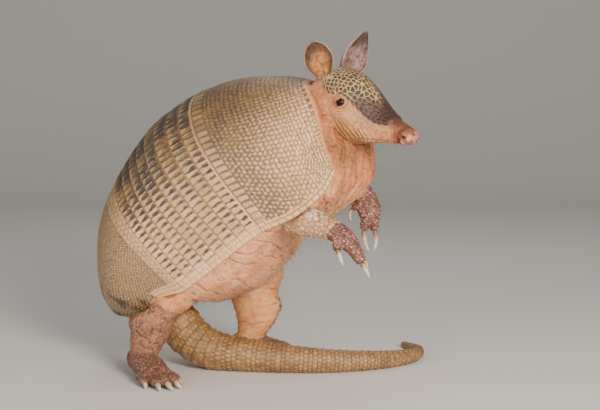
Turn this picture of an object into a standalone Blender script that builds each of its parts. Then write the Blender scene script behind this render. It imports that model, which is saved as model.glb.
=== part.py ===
"""A nine-banded armadillo that sits up on its hind feet, as a still, life-size model.

Metres, +Z up, standing on Z = 0. The animal faces +X and its left side is towards +Y.
The shell is a surface over curved stations, cut across into plates. The flesh is made of
lofts, and each loft is trimmed by its neighbours with a small gap.
"""

import math

import bmesh
import bpy
from mathutils import Matrix, Vector

# ---------------------------------------------------------------- driving dimensions

GAP = 0.0003            # air between two neighbours
LIMB_CLEARANCE = 0.0014  # air between a limb and the inside of the shell
ENVELOPE_REACH = 0.03   # how far outside the shell the trimming room of the shell reaches
HEM_CLEARANCE = 1.018   # how far the room of the shell reaches past its hem, as a share of the girth
FLOOR = 0.0             # level of everything that carries weight

# Shell stations from the neck to the tail root:
# run along the back, back X, back Z, hem X, hem Z, half width, belly depth below the hem,
# and the bow, which is how far the flank lies further back than back and hem
SHELL_STATIONS = [
    (0.000, 0.008, 0.264, 0.051, 0.186, 0.0575, 0.016, -0.008),
    (0.033, -0.025, 0.267, 0.042, 0.167, 0.0650, 0.010, -0.003),
    (0.066, -0.058, 0.264, 0.019, 0.147, 0.0700, 0.007, 0.002),
    (0.100, -0.090, 0.253, -0.009, 0.134, 0.0735, 0.011, 0.005),
    (0.128, -0.115, 0.239, -0.027, 0.122, 0.0748, 0.022, 0.006),
    (0.156, -0.138, 0.221, -0.046, 0.107, 0.0755, 0.030, 0.006),
    (0.212, -0.167, 0.181, -0.082, 0.080, 0.0755, 0.022, 0.004),
    (0.246, -0.183, 0.149, -0.093, 0.076, 0.0745, 0.018, 0.002),
    (0.282, -0.189, 0.114, -0.105, 0.072, 0.0720, 0.017, 0.001),
    (0.322, -0.186, 0.074, -0.124, 0.059, 0.0620, 0.016, 0.000),
    (0.347, -0.176, 0.051, -0.151, 0.047, 0.0380, 0.009, 0.000),
]
# The trunk runs on past both ends of the shell, with the same columns.
NECK_STATIONS = [
    (-0.030, 0.040, 0.241, 0.059, 0.217, 0.0260, 0.008, 0.000),
    (-0.018, 0.028, 0.257, 0.056, 0.207, 0.0372, 0.013, -0.003),
]
RUMP_STATIONS = [
    (0.353, -0.170, 0.051, -0.155, 0.049, 0.0240, 0.005, 0.000),
]
SHELL_ROWS = NECK_STATIONS + SHELL_STATIONS + RUMP_STATIONS
SCAPULAR_RUN = 0.100    # where the shoulder shield ends
PELVIC_RUN = 0.212      # where the hip shield begins
PELVIC_END = 0.347
BAND_COUNT = 8
BAND_STEP = 0.0007      # how far the rear edge of a band stands over the next one
SHELL_THICK = 0.0036
CENTRE_SHARE = 0.60     # share of the depth from back to hem at which the body is widest
ARCH_SHARE = 0.68       # share of the half girth that is arch, the rest is side wall
ARCH_POWER = 0.90       # below 1 the arch is fuller than an ellipse
HEM_TUCK = 0.10         # how far the hem draws in, as a share of the half width
PLATE_SEGMENTS = 18
SHIELD_STEPS = 6
BELLY_SEGMENTS = 8
BELLY_POWER = 0.9       # below 1 the belly is fuller than an ellipse

# Head, in its own frame: X to the nose, Y to its left, Z to the crown, zero at the nape.
HEAD_AT = (0.0228, 0.000, 0.2315)
HEAD_TURN = (math.radians(15), math.radians(14), math.radians(-26))
# distance from the nape, half width, top, bottom
HEAD_STATIONS = [
    (0.000, 0.0170, 0.0400, 0.0040),
    (0.008, 0.0215, 0.0455, -0.0070),
    (0.018, 0.0238, 0.0485, -0.0122),
    (0.032, 0.0240, 0.0490, -0.0138),
    (0.046, 0.0220, 0.0450, -0.0118),
    (0.060, 0.0182, 0.0361, -0.0070),
    (0.076, 0.0138, 0.0252, -0.0020),
    (0.090, 0.0108, 0.0199, 0.0014),
    (0.100, 0.0094, 0.0174, 0.0030),
    (0.106, 0.0084, 0.0160, 0.0040),
    (0.108, 0.0055, 0.0140, 0.0066),
]
HEAD_RUNS = (0.0, 0.005, 0.013, 0.024, 0.036, 0.048, 0.061, 0.075, 0.090, 0.102, 0.107, 0.109)
HEAD_SEGMENTS = 18
HEAD_CENTRE_SHARE = 0.42    # share of the depth from chin to crown at which the head is widest
HEAD_POWER = 0.92           # below 1 the head is fuller than an ellipse
HEAD_SHIELD_RUN = (0.010, 0.088)
HEAD_SHIELD_THICK = 0.0012
HEAD_SHIELD_LIFT = 0.0009   # clears the flats of the head below it
# share of the way from crown to nose, and the angle from the ridge to the shield's edge
HEAD_SHIELD_SPREAD = [
    (0.0, 0.62), (0.20, 0.94), (0.40, 0.86), (0.55, 0.94), (0.70, 1.07), (0.84, 1.08), (1.0, 0.78),
]
HEAD_SHIELD_ROWS = 8
HEAD_SHIELD_COLUMNS = 7
EYE_AT = (0.0415, 0.0176, 0.0296)
EYE_RADIUS = 0.0039
EAR_LENGTH = {"right": 0.0335, "left": 0.037}
EAR_WIDTH = 0.0245
EAR_THICK = 0.0014
EAR_ROOT = {"right": (0.0135, -0.0135, 0.0475), "left": (0.0125, 0.0150, 0.0440)}
# share of the ear's length, and share of its full width there
EAR_OUTLINE = {
    "right": [(0.0, 0.26), (0.20, 0.66), (0.45, 0.97), (0.64, 1.00), (0.82, 0.80), (0.93, 0.52),
              (1.0, 0.20)],
    "left": [(0.0, 0.50), (0.15, 0.86), (0.35, 1.00), (0.55, 0.88), (0.75, 0.58), (0.90, 0.32),
             (1.0, 0.12)],
}
EAR_SUNK = 0.003
EAR_WRAP = (82, 32)     # half angle in degrees that the leaf wraps at its root and at its tip
EAR_ROWS = 7
EAR_COLUMNS = 6
# direction of the ear's length, and the direction its opening faces
EAR_POSE = {
    "right": ((-0.10, -0.58, 0.81), (0.45, -0.85, -0.30)),
    "left": ((0.40, 0.22, 0.88), (0.80, -0.60, 0.00)),
}

# Tail: points with the radius, from the root to the tip
TAIL_PATH = [
    (-0.158, 0.000, 0.057, 0.0230),
    (-0.138, -0.005, 0.055, 0.0225),
    (-0.119, -0.010, 0.043, 0.0210),
    (-0.103, -0.011, 0.0285, 0.0193),
    (-0.082, -0.011, 0.0178, 0.0178),
    (-0.052, -0.009, 0.0150, 0.0152),
    (-0.016, -0.003, 0.0127, 0.0129),
    (0.024, 0.011, 0.0104, 0.0106),
    (0.060, 0.039, 0.0083, 0.0085),
    (0.081, 0.077, 0.0064, 0.0066),
    (0.078, 0.118, 0.0045, 0.0047),
    (0.055, 0.149, 0.0029, 0.0031),
]
TAIL_LENGTHS = 4
TAIL_SIDES = 10
TAIL_RINGS = 24
TAIL_ACROSS = Vector((0.0, 0.0, 1.0))

# Limbs: points with the radius across the limb and the radius fore and aft.
FOREARM = {
    "right": [(0.007, -0.063, 0.1510, 0.013, 0.014), (0.020, -0.064, 0.1465, 0.013, 0.0135),
              (0.034, -0.063, 0.1430, 0.0118, 0.0122), (0.049, -0.061, 0.1390, 0.0098, 0.0100)],
    "left": [(0.003, 0.062, 0.1500, 0.013, 0.014), (0.016, 0.056, 0.1560, 0.013, 0.013),
             (0.030, 0.047, 0.1610, 0.0115, 0.0115), (0.043, 0.040, 0.1615, 0.0095, 0.0095)],
}
FORE_PALM = {
    "right": [(0.046, -0.061, 0.1400, 0.0095, 0.0095), (0.056, -0.060, 0.1350, 0.0115, 0.0088),
              (0.064, -0.059, 0.1290, 0.0115, 0.0080), (0.068, -0.0585, 0.1240, 0.0090, 0.0065)],
    "left": [(0.045, 0.040, 0.1615, 0.0092, 0.0092), (0.051, 0.039, 0.1530, 0.0112, 0.0085),
             (0.0535, 0.039, 0.1430, 0.0112, 0.0078), (0.0540, 0.039, 0.1360, 0.0088, 0.0062)],
}
PALM_ACROSS = {"right": (0.10, 0.99, 0.10), "left": (0.75, 0.66, 0.00)}
# Toes: root, knuckle and tip of the flesh, tip of the claw, radius of the toe
FORE_TOES = {
    "right": [
        ((0.059, -0.049, 0.1320), (0.0650, -0.0450, 0.1240), (0.0700, -0.0425, 0.1135), 0.0040),
        ((0.064, -0.055, 0.1290), (0.0735, -0.0525, 0.1160), (0.0795, -0.0515, 0.1030), 0.0047),
        ((0.064, -0.061, 0.1280), (0.0765, -0.0600, 0.1110), (0.0835, -0.0595, 0.0985), 0.0047),
        ((0.056, -0.066, 0.1310), (0.0595, -0.0715, 0.1225), (0.0645, -0.0720, 0.1095), 0.0042),
    ],
    "left": [
        ((0.047, 0.031, 0.1510), (0.0400, 0.0300, 0.1480), (0.0385, 0.0295, 0.1365), 0.0032),
        ((0.052, 0.034, 0.1400), (0.0495, 0.0335, 0.1285), (0.0545, 0.0330, 0.1090), 0.0046),
        ((0.054, 0.041, 0.1390), (0.0575, 0.0415, 0.1280), (0.0565, 0.0410, 0.1080), 0.0046),
        ((0.052, 0.047, 0.1420), (0.0520, 0.0500, 0.1340), (0.0535, 0.0515, 0.1200), 0.0040),
    ],
}
THIGH = {
    "right": [(-0.092, -0.042, 0.110, 0.0260, 0.0320), (-0.104, -0.050, 0.087, 0.0245, 0.0290),
              (-0.1145, -0.0545, 0.068, 0.0220, 0.0250), (-0.117, -0.055, 0.056, 0.0120, 0.0120)],
    "left": [(-0.088, 0.042, 0.110, 0.0270, 0.0340), (-0.070, 0.051, 0.083, 0.0268, 0.0352),
             (-0.063, 0.0545, 0.062, 0.0222, 0.0262), (-0.061, 0.0545, 0.050, 0.0120, 0.0120)],
}
SHANK = {
    "right": [(-0.1160, -0.055, 0.066, 0.0205, 0.0230), (-0.1200, -0.058, 0.049, 0.0195, 0.0205),
              (-0.1220, -0.060, 0.034, 0.0160, 0.0160), (-0.1260, -0.061, 0.023, 0.0130, 0.0130)],
    "left": [(-0.0615, 0.0545, 0.059, 0.0205, 0.0240), (-0.0635, 0.053, 0.043, 0.0187, 0.0215),
             (-0.0670, 0.051, 0.029, 0.0138, 0.0150), (-0.0710, 0.050, 0.019, 0.0108, 0.0112)],
}
HIND_SOLE = {
    "right": [(-0.1345, -0.056, 0.0145, 0.0110, 0.0105), (-0.1260, -0.063, 0.0140, 0.0130, 0.0125),
              (-0.1120, -0.076, 0.0115, 0.0138, 0.0105), (-0.0985, -0.0885, 0.0085, 0.0130, 0.0080)],
    "left": [(-0.0820, 0.049, 0.0120, 0.0105, 0.0105), (-0.0720, 0.050, 0.0130, 0.0120, 0.0122),
             (-0.0540, 0.052, 0.0110, 0.0130, 0.0100), (-0.0360, 0.055, 0.0082, 0.0128, 0.0078)],
}
HIND_TOE_SIDE = (-0.0134, -0.0062, 0.0, 0.0062, 0.0134)     # place of each toe across the sole
HIND_TOE_REACH = (0.0070, 0.0172, 0.0186, 0.0168, 0.0070)    # how far its flesh runs past the sole
HIND_CLAW_LENGTH = (0.0085, 0.0125, 0.0140, 0.0120, 0.0080)
HIND_TOE_RADIUS = (0.0040, 0.0047, 0.0050, 0.0047, 0.0040)
HIND_TOE_SUNK = 0.010   # how far a toe starts inside the sole, and how far its root stands higher
HIND_TOE_RISE = 0.003
TOE_OVER_FLOOR = 0.0004
CLAW_OVER_FLOOR = 0.0012
HIND_TOE_SPLAY = 20.0   # turn of a toe away from the sole for each metre it stands off the middle

# Flat sides of the limbs, and the size of the block that makes the soles flat
ARM_SIDES = 12
LEG_SIDES = 14
PALM_SIDES = 9
TOE_SIDES = 6
FLOOR_TRIM = 0.4

# Finishes: material name, colour, roughness
SHELL_FINISH = ("shell", (0.42, 0.38, 0.27), 0.55)
SKIN_FINISH = ("skin", (0.62, 0.38, 0.29), 0.60)
SCALY_FINISH = ("scaly_skin", (0.40, 0.30, 0.25), 0.60)
TAIL_FINISH = ("tail_scutes", (0.40, 0.34, 0.17), 0.60)
EAR_FINISH = ("ear_skin", (0.50, 0.33, 0.20), 0.60)
CLAW_FINISH = ("claw_horn", (0.72, 0.66, 0.52), 0.35)
EYE_FINISH = ("eye", (0.03, 0.015, 0.012), 0.08)

SIGN = {"right": -1.0, "left": 1.0}
NECK_RUNS = [-0.030, -0.025, -0.017, -0.008, -2 * GAP]
PELVIC_STEP = (PELVIC_END - PELVIC_RUN) / SHIELD_STEPS
TRUNK_RUNS = [0.000, 0.030, 0.066, 0.100, 0.134, 0.170]
TRUNK_RUNS += [PELVIC_RUN + PELVIC_STEP * i for i in range(SHIELD_STEPS + 1)]
TRUNK_RUNS += [0.353]
TANGENT_STEP = 0.001    # reach either side of a point that gives a path's direction
DOME_RING = 0.62        # a domed end: place and size of its ring, and its apex, in end radii
DOME_SCALE = 0.74
DOME_APEX = 0.95


# ---------------------------------------------------------------- small tools

def interpolate(rows, key):
    """Row of a table at a key, on a smooth curve through the rows; the first column is the key."""
    last = len(rows) - 1
    low = max(i for i in range(last) if i == 0 or rows[i][0] <= key)
    high = low + 1
    span = rows[high][0] - rows[low][0]
    t = min(max((key - rows[low][0]) / span, 0.0), 1.0)
    result = []
    for column in range(1, len(rows[0])):
        def slope(i):
            before = max(i - 1, 0)
            after = min(i + 1, last)
            return (rows[after][column] - rows[before][column]) / (rows[after][0] - rows[before][0])
        a, b = rows[low][column], rows[high][column]
        result.append(
            a * (2 * t**3 - 3 * t**2 + 1) + b * (3 * t**2 - 2 * t**3)
            + slope(low) * span * (t**3 - 2 * t**2 + t) + slope(high) * span * (t**3 - t**2)
        )
    return result


def with_distance(points):
    """The points with the distance walked so far as a first column."""
    rows = []
    walked = 0.0
    for i, point in enumerate(points):
        if i:
            walked += (Vector(point[:3]) - Vector(points[i - 1][:3])).length
        rows.append((walked, *point))
    return rows


def between(low, high, count):
    """Evenly spaced numbers from low to high, with both ends."""
    return [low + (high - low) * i / (count - 1) for i in range(count)]


def material(name, colour, roughness):
    """A plain material, made once for each name."""
    found = bpy.data.materials.get(name)
    if found:
        return found
    made = bpy.data.materials.new(name)
    made.use_nodes = True
    shader = made.node_tree.nodes["Principled BSDF"]
    shader.inputs["Base Color"].default_value = (*colour, 1.0)
    shader.inputs["Roughness"].default_value = roughness
    shader.inputs["Metallic"].default_value = 0.0
    return made


def new_object(name, bm, finish):
    """An object from a closed bmesh, with its faces turned outwards and shaded smooth."""
    bmesh.ops.recalc_face_normals(bm, faces=bm.faces)
    mesh = bpy.data.meshes.new(name)
    bm.to_mesh(mesh)
    bm.free()
    mesh.shade_smooth()
    mesh.materials.append(material(*finish))
    obj = bpy.data.objects.new(name, mesh)
    bpy.context.scene.collection.objects.link(obj)
    return obj


def loft(rings, apexes=(None, None)):
    """A closed bmesh through rings of equal count, each end closed by a fan, to an apex if given."""
    bm = bmesh.new()
    rows = [[bm.verts.new(point) for point in ring] for ring in rings]
    count = len(rings[0])
    for lower, upper in zip(rows, rows[1:]):
        for i in range(count):
            j = (i + 1) % count
            bm.faces.new((lower[i], lower[j], upper[j], upper[i]))
    for row, apex in zip((rows[0], rows[-1]), apexes):
        middle = bm.verts.new(apex or sum((vert.co for vert in row), Vector()) / count)
        for i in range(count):
            bm.faces.new((row[i], row[(i + 1) % count], middle))
    return bm


def sheet_bmesh(outer, inner):
    """A closed plate between two grids of points of the same size."""
    bm = bmesh.new()
    top = [[bm.verts.new(point) for point in row] for row in outer]
    under = [[bm.verts.new(point) for point in row] for row in inner]
    last_row = len(outer) - 1
    last_column = len(outer[0]) - 1
    for i in range(last_row):
        for j in range(last_column):
            bm.faces.new((top[i][j], top[i][j + 1], top[i + 1][j + 1], top[i + 1][j]))
            bm.faces.new((under[i][j], under[i + 1][j], under[i + 1][j + 1], under[i][j + 1]))
        for j in (0, last_column):
            bm.faces.new((top[i][j], top[i + 1][j], under[i + 1][j], under[i][j]))
    for i in (0, last_row):
        for j in range(last_column):
            bm.faces.new((top[i][j], top[i][j + 1], under[i][j + 1], under[i][j]))
    return bm


def press_to_floor(bm):
    """Flattens what would reach below the floor, which makes the small flats it rests on."""
    for vert in bm.verts:
        vert.co.z = max(vert.co.z, FLOOR)


def tool_from(bm):
    """An object that only trims others and is removed after use."""
    return new_object("tool", bm, SKIN_FINISH)


def apply_boolean(obj, tool, operation):
    """Cuts or joins a tool into an object, and removes the tool."""
    modifier = obj.modifiers.new("joint", "BOOLEAN")
    modifier.operation = operation
    modifier.object = tool
    bpy.context.view_layer.update()
    depsgraph = bpy.context.evaluated_depsgraph_get()
    result = bpy.data.meshes.new_from_object(obj.evaluated_get(depsgraph))
    old = obj.data
    obj.modifiers.clear()
    obj.data = result
    result.name = obj.name
    bpy.data.meshes.remove(old)
    bpy.data.objects.remove(tool)


def tube(path, sides, steps, grow=0.0, across=Vector((0, 1, 0)), domes=(True, True), span=None):
    """A limb along smooth points (x, y, z, radius across, other radius), with domed or flat ends.

    With a span, only that stretch of the path is made.
    """
    rows = with_distance(path)
    length = rows[-1][0]
    low, high = span or (0.0, length)

    def place(key):
        inside = min(max(key, 0.0), length)
        here = interpolate(rows, inside)
        ahead = interpolate(rows, min(inside + TANGENT_STEP, length))
        behind = interpolate(rows, max(inside - TANGENT_STEP, 0.0))
        along = (Vector(ahead[:3]) - Vector(behind[:3])).normalized()
        return Vector(here[:3]) + along * (key - inside), along, here[3], here[-1]

    samples = [(key, 1.0) for key in between(low, high, steps)]
    apexes = [None, None]
    if domes[0]:
        samples.insert(0, (-DOME_RING * rows[0][-1], DOME_SCALE))
        apexes[0] = place(-DOME_APEX * rows[0][-1] - grow)[0]
    if domes[1]:
        samples.append((length + DOME_RING * rows[-1][-1], DOME_SCALE))
        apexes[1] = place(length + DOME_APEX * rows[-1][-1] + grow)[0]
    rings = []
    for key, scale in samples:
        centre, along, wide, deep = place(key)
        side = (across - along * across.dot(along)).normalized()
        other = along.cross(side)
        wide = wide * scale + grow
        deep = deep * scale + grow
        ring = []
        for i in range(sides):
            angle = math.tau * i / sides
            ring.append(centre + side * wide * math.cos(angle) + other * deep * math.sin(angle))
        rings.append(ring)
    return loft(rings, apexes)


# ---------------------------------------------------------------- shell and trunk

def section(run):
    """Centre, direction to the back, arch height, side wall depth, half width and belly depth."""
    back_x, back_z, hem_x, hem_z, half_width, belly, _ = interpolate(SHELL_ROWS, run)
    back = Vector((back_x, 0.0, back_z))
    hem = Vector((hem_x, 0.0, hem_z))
    centre = back.lerp(hem, CENTRE_SHARE)
    rise = back - centre
    return centre, rise.normalized(), rise.length, (hem - centre).length, half_width, belly


def shell_point(run, across, lift):
    """A point of the shell: across runs from -1 at the right hem over the back to 1."""
    share = abs(across)
    bow = interpolate(SHELL_ROWS, run)[-1]
    bowed_run = run + bow * math.sin(math.pi * min(share, 1.0)) ** 2
    centre, upward, height, wall, half_width, _ = section(bowed_run)
    if share <= ARCH_SHARE:
        angle = 0.5 * math.pi * share / ARCH_SHARE
        sideways = math.sin(angle) ** ARCH_POWER * (half_width + lift)
        up = math.cos(angle) ** ARCH_POWER * (height + lift) if angle < 0.5 * math.pi else 0.0
    else:
        down = (share - ARCH_SHARE) / (1.0 - ARCH_SHARE)
        sideways = (half_width + lift) * (1.0 - HEM_TUCK * down * down)
        up = -wall * down
    return centre + upward * up + Vector((0.0, math.copysign(sideways, across), 0.0))


def plate(name, low, high, steps, rear_step, finish):
    """One plate of the shell between two runs, its rear edge raised by rear_step."""
    places = between(-1.0, 1.0, PLATE_SEGMENTS + 1)
    outer = []
    inner = []
    for i, run in enumerate(between(low, high, steps + 1)):
        lift = rear_step * i / steps
        outer.append([shell_point(run, across, lift) for across in places])
        inner.append([shell_point(run, across, -SHELL_THICK) for across in places])
    return new_object(name, sheet_bmesh(outer, inner), finish)


def shell_envelope():
    """A tool that removes flesh from the room of the shell and from outside it."""
    runs = [-2 * GAP, *between(0.0, SCAPULAR_RUN, SHIELD_STEPS + 1)]
    runs += between(SCAPULAR_RUN, PELVIC_RUN, BAND_COUNT + 1)[1:]
    runs += [*between(PELVIC_RUN, PELVIC_END, SHIELD_STEPS + 1)[1:], PELVIC_END + 2 * GAP]
    places = between(-HEM_CLEARANCE, HEM_CLEARANCE, PLATE_SEGMENTS + 1)
    inside = -SHELL_THICK - LIMB_CLEARANCE
    outer = [[shell_point(run, across, ENVELOPE_REACH) for across in places] for run in runs]
    inner = [[shell_point(run, across, inside) for across in places] for run in runs]
    return tool_from(sheet_bmesh(outer, inner))


def flesh_bmesh(runs):
    """The body under and in front of the shell, closed below by a rounded belly."""
    sink = SHELL_THICK + GAP
    rings = []
    for run in runs:
        centre, upward, _, wall, half_width, belly = section(run)
        ring = [shell_point(run, across, -sink) for across in between(-1.0, 1.0, PLATE_SEGMENTS + 1)]
        hem_side = (half_width - sink) * (1.0 - HEM_TUCK)
        for i in range(1, BELLY_SEGMENTS):
            angle = math.pi * i / BELLY_SEGMENTS
            sideways = math.cos(angle) * hem_side
            down = wall + belly * math.sin(angle) ** BELLY_POWER
            ring.append(centre - upward * down + Vector((0.0, sideways, 0.0)))
        rings.append(ring)
    return loft(rings)


def body_tool():
    """Neck and trunk in one, pushed out a little, to trim what leaves the body."""
    bm = flesh_bmesh(NECK_RUNS[:-1] + TRUNK_RUNS)
    bmesh.ops.recalc_face_normals(bm, faces=bm.faces)
    bm.normal_update()
    moves = [vert.normal * 2 * GAP for vert in bm.verts]
    for vert, move in zip(bm.verts, moves):
        vert.co += move
    return tool_from(bm)


def body():
    """Trunk and neck, hollowed where the drawn-in head sits."""
    trunk = new_object("trunk", flesh_bmesh(TRUNK_RUNS), SKIN_FINISH)
    neck = new_object("neck", flesh_bmesh(NECK_RUNS), SKIN_FINISH)
    for obj in (trunk, neck):
        cut_with(obj, tool_from(head_bmesh(2 * GAP)), tool_from(head_shield_bmesh(GAP)))


# ---------------------------------------------------------------- head

def head_matrix():
    """The head's frame in the model's frame."""
    roll, pitch, yaw = HEAD_TURN
    turn = Matrix.Rotation(yaw, 4, "Z") @ Matrix.Rotation(pitch, 4, "Y") @ Matrix.Rotation(roll, 4, "X")
    return Matrix.Translation(HEAD_AT) @ turn


def head_point(run, angle, lift):
    """A point of the head: angle 0 at the crown, positive to the animal's left."""
    half_width, top, bottom = interpolate(HEAD_STATIONS, run)
    centre = bottom + HEAD_CENTRE_SHARE * (top - bottom)
    high = (top - centre) if math.cos(angle) > 0 else (centre - bottom)
    up = math.copysign(abs(math.cos(angle)) ** HEAD_POWER, math.cos(angle)) * (high + lift)
    side = math.copysign(abs(math.sin(angle)) ** HEAD_POWER, math.sin(angle)) * (half_width + lift)
    return head_matrix() @ Vector((run, side, centre + up))


def head_bmesh(grow=0.0):
    """The head without ears, eyes and shield."""
    rings = []
    for run in HEAD_RUNS:
        angles = [math.tau * i / HEAD_SEGMENTS for i in range(HEAD_SEGMENTS)]
        rings.append([head_point(run, angle, grow) for angle in angles])
    return loft(rings)


def head_shield_bmesh(grow=0.0):
    """The scaled cap from between the ears to the bridge of the nose."""
    outer = []
    inner = []
    for share in between(0.0, 1.0, HEAD_SHIELD_ROWS):
        run = HEAD_SHIELD_RUN[0] + (HEAD_SHIELD_RUN[1] - HEAD_SHIELD_RUN[0]) * share
        spread = interpolate(HEAD_SHIELD_SPREAD, share)[0] + grow / HEAD_STATIONS[3][1]
        angles = between(-spread, spread, HEAD_SHIELD_COLUMNS)
        lift = HEAD_SHIELD_LIFT + HEAD_SHIELD_THICK + grow
        outer.append([head_point(run, angle, lift) for angle in angles])
        inner.append([head_point(run, angle, HEAD_SHIELD_LIFT - grow) for angle in angles])
    return sheet_bmesh(outer, inner)


def ball(centre, radius, name, finish):
    """A round ball, for an eye or its socket."""
    bm = bmesh.new()
    bmesh.ops.create_uvsphere(bm, u_segments=10, v_segments=6, radius=radius)
    bmesh.ops.translate(bm, verts=bm.verts, vec=centre)
    return new_object(name, bm, finish)


def eye_centre(side):
    x, y, z = EYE_AT
    return head_matrix() @ Vector((x, y * SIGN[side], z))


def ear(side):
    """A cupped leaf with a rounded tip, its root sunk in the head."""
    length, opening = (Vector(direction).normalized() for direction in EAR_POSE[side])
    across = length.cross(opening).normalized()
    forward = across.cross(length)
    root = head_matrix() @ Vector(EAR_ROOT[side])
    frame = Matrix((forward, across, length)).transposed().to_4x4()
    frame = Matrix.Translation(root) @ frame
    bm = bmesh.new()
    front = []
    back = []
    for share in between(0.0, 1.0, EAR_ROWS):
        height = -EAR_SUNK + (EAR_LENGTH[side] + EAR_SUNK) * share
        half = 0.5 * EAR_WIDTH * interpolate(EAR_OUTLINE[side], share)[0]
        wrap = math.radians(EAR_WRAP[0] + (EAR_WRAP[1] - EAR_WRAP[0]) * share)
        front_row = []
        back_row = []
        for angle in between(-wrap, wrap, EAR_COLUMNS + 1):
            radius = half / math.sin(wrap)
            depth = radius * (1.0 - math.cos(angle))
            width = radius * math.sin(angle)
            front_row.append(bm.verts.new(frame @ Vector((depth, width, height))))
            inward = EAR_THICK * math.cos(angle)
            outward = EAR_THICK * math.sin(angle)
            back_row.append(bm.verts.new(frame @ Vector((depth - inward, width + outward, height))))
        front.append(front_row)
        back.append(back_row)
    for i in range(EAR_ROWS - 1):
        for j in range(EAR_COLUMNS):
            bm.faces.new((front[i][j], front[i][j + 1], front[i + 1][j + 1], front[i + 1][j]))
            bm.faces.new((back[i][j], back[i + 1][j], back[i + 1][j + 1], back[i][j + 1]))
        for j in (0, EAR_COLUMNS):
            bm.faces.new((front[i][j], front[i + 1][j], back[i + 1][j], back[i][j]))
    for i in (0, EAR_ROWS - 1):
        for j in range(EAR_COLUMNS):
            bm.faces.new((front[i][j], front[i][j + 1], back[i][j + 1], back[i][j]))
    obj = new_object("ear_" + side, bm, EAR_FINISH)
    return cut_with(obj, tool_from(head_bmesh(GAP)), tool_from(head_shield_bmesh(GAP)))


# ---------------------------------------------------------------- limbs and tail

def keep_largest_piece(obj):
    """Drops the slivers that a cut leaves beside the main body."""
    bm = bmesh.new()
    bm.from_mesh(obj.data)
    left = set(bm.verts)
    pieces = []
    while left:
        piece = set()
        edge_of_piece = [left.pop()]
        while edge_of_piece:
            vert = edge_of_piece.pop()
            piece.add(vert)
            for edge in vert.link_edges:
                other = edge.other_vert(vert)
                if other in left:
                    left.remove(other)
                    edge_of_piece.append(other)
        pieces.append(piece)
    largest = max(pieces, key=len)
    spare = [vert for piece in pieces if piece is not largest for vert in piece]
    bmesh.ops.delete(bm, geom=spare, context="VERTS")
    bm.to_mesh(obj.data)
    bm.free()


def cut_with(obj, *tools):
    """Trims an object with tools that are already grown by the gap."""
    for tool in tools:
        apply_boolean(obj, tool, "DIFFERENCE")
    keep_largest_piece(obj)
    return obj


def toe_bmesh(root, tip, radius):
    """A short toe from inside the foot to the root of its claw, flat where the claw sits."""
    middle = Vector(root).lerp(Vector(tip), 0.5)
    path = [(*root, radius, radius), (*middle, radius, radius), (*tip, 0.88 * radius, 0.88 * radius)]
    return tube(path, TOE_SIDES, 3, domes=(False, False))


def claw_bmesh(root, tip, claw_tip, radius):
    """A claw that leaves the toe straight on and bends to its point."""
    heading = (Vector(tip) - Vector(root)).normalized()
    start = Vector(tip) + heading * GAP
    reach = (Vector(claw_tip) - start).length
    bend = start + heading * 0.35 * reach
    middle = bend.lerp(Vector(claw_tip), 0.40)
    path = [
        (*start, 0.66 * radius, 0.66 * radius),
        (*(start + heading * 0.12 * reach), 0.64 * radius, 0.64 * radius),
        (*middle, 0.46 * radius, 0.48 * radius),
        (*Vector(claw_tip), 0.10 * radius, 0.10 * radius),
    ]
    return tube(path, TOE_SIDES, 4, domes=(False, False))


def foot(name, palm, toes, across, on_floor, tools):
    """A foot in one piece with its toes, and its claws as pieces of their own."""
    bm = tube(palm, PALM_SIDES, 4, 0.0, across)
    obj = new_object(name, bm, SCALY_FINISH)
    for root, tip, _, radius in toes:
        apply_boolean(obj, new_object("toe", toe_bmesh(root, tip, radius), SCALY_FINISH), "UNION")
    if on_floor:
        trim = bmesh.new()
        bmesh.ops.create_cube(trim, size=FLOOR_TRIM)
        bmesh.ops.translate(trim, verts=trim.verts, vec=(palm[1][0], palm[1][1], FLOOR - FLOOR_TRIM / 2))
        apply_boolean(obj, new_object("floor_tool", trim, SCALY_FINISH), "DIFFERENCE")
    cut_with(obj, *tools)
    for index, (root, tip, claw_tip, radius) in enumerate(toes):
        claw_name = name.replace("foot", "claw") + "_" + str(index + 1)
        new_object(claw_name, claw_bmesh(root, tip, claw_tip, radius), CLAW_FINISH)
    return obj


def arm(side):
    """Forearm, fore foot and its claws; the upper arm is folded away under the shell."""
    across = Vector((0, 1, 0))
    palm_across = Vector(PALM_ACROSS[side])
    lower = new_object("forearm_" + side, tube(FOREARM[side], ARM_SIDES, 5, 0.0, across), SCALY_FINISH)
    cut_with(lower, body_tool(), shell_envelope())
    foot("fore_foot_" + side, FORE_PALM[side], FORE_TOES[side], palm_across, False,
         [tool_from(tube(FOREARM[side], ARM_SIDES, 5, GAP, across)), body_tool()])


def hind_toes(side):
    """The five toes of a hind foot, spread across the end of its sole."""
    sole = [Vector(point[:3]) for point in HIND_SOLE[side]]
    heading = sole[-1] - sole[-2]
    heading.z = 0.0
    heading.normalize()
    across = Vector((-heading.y, heading.x, 0.0))
    toes = []
    sizes = zip(HIND_TOE_SIDE, HIND_TOE_REACH, HIND_CLAW_LENGTH, HIND_TOE_RADIUS)
    for place, reach, claw, radius in sizes:
        base = sole[-1] + across * place
        root = base - heading * HIND_TOE_SUNK
        root.z = radius + HIND_TOE_RISE
        splay = (heading + across * place * HIND_TOE_SPLAY).normalized()
        tip = base + splay * reach
        tip.z = radius + TOE_OVER_FLOOR
        claw_tip = tip + splay * claw
        claw_tip.z = CLAW_OVER_FLOOR
        toes.append((tuple(root), tuple(tip), tuple(claw_tip), radius))
    return toes, across


def shank_tool(side):
    """The shank grown by the gap all round and at its flat knee end."""
    path = [list(point) for point in SHANK[side]]
    knee = Vector(path[0][:3])
    upward = (knee - Vector(path[1][:3])).normalized()
    path[0][:3] = knee + upward * GAP
    return tube(path, LEG_SIDES, 5, GAP, domes=(False, True))


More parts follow.
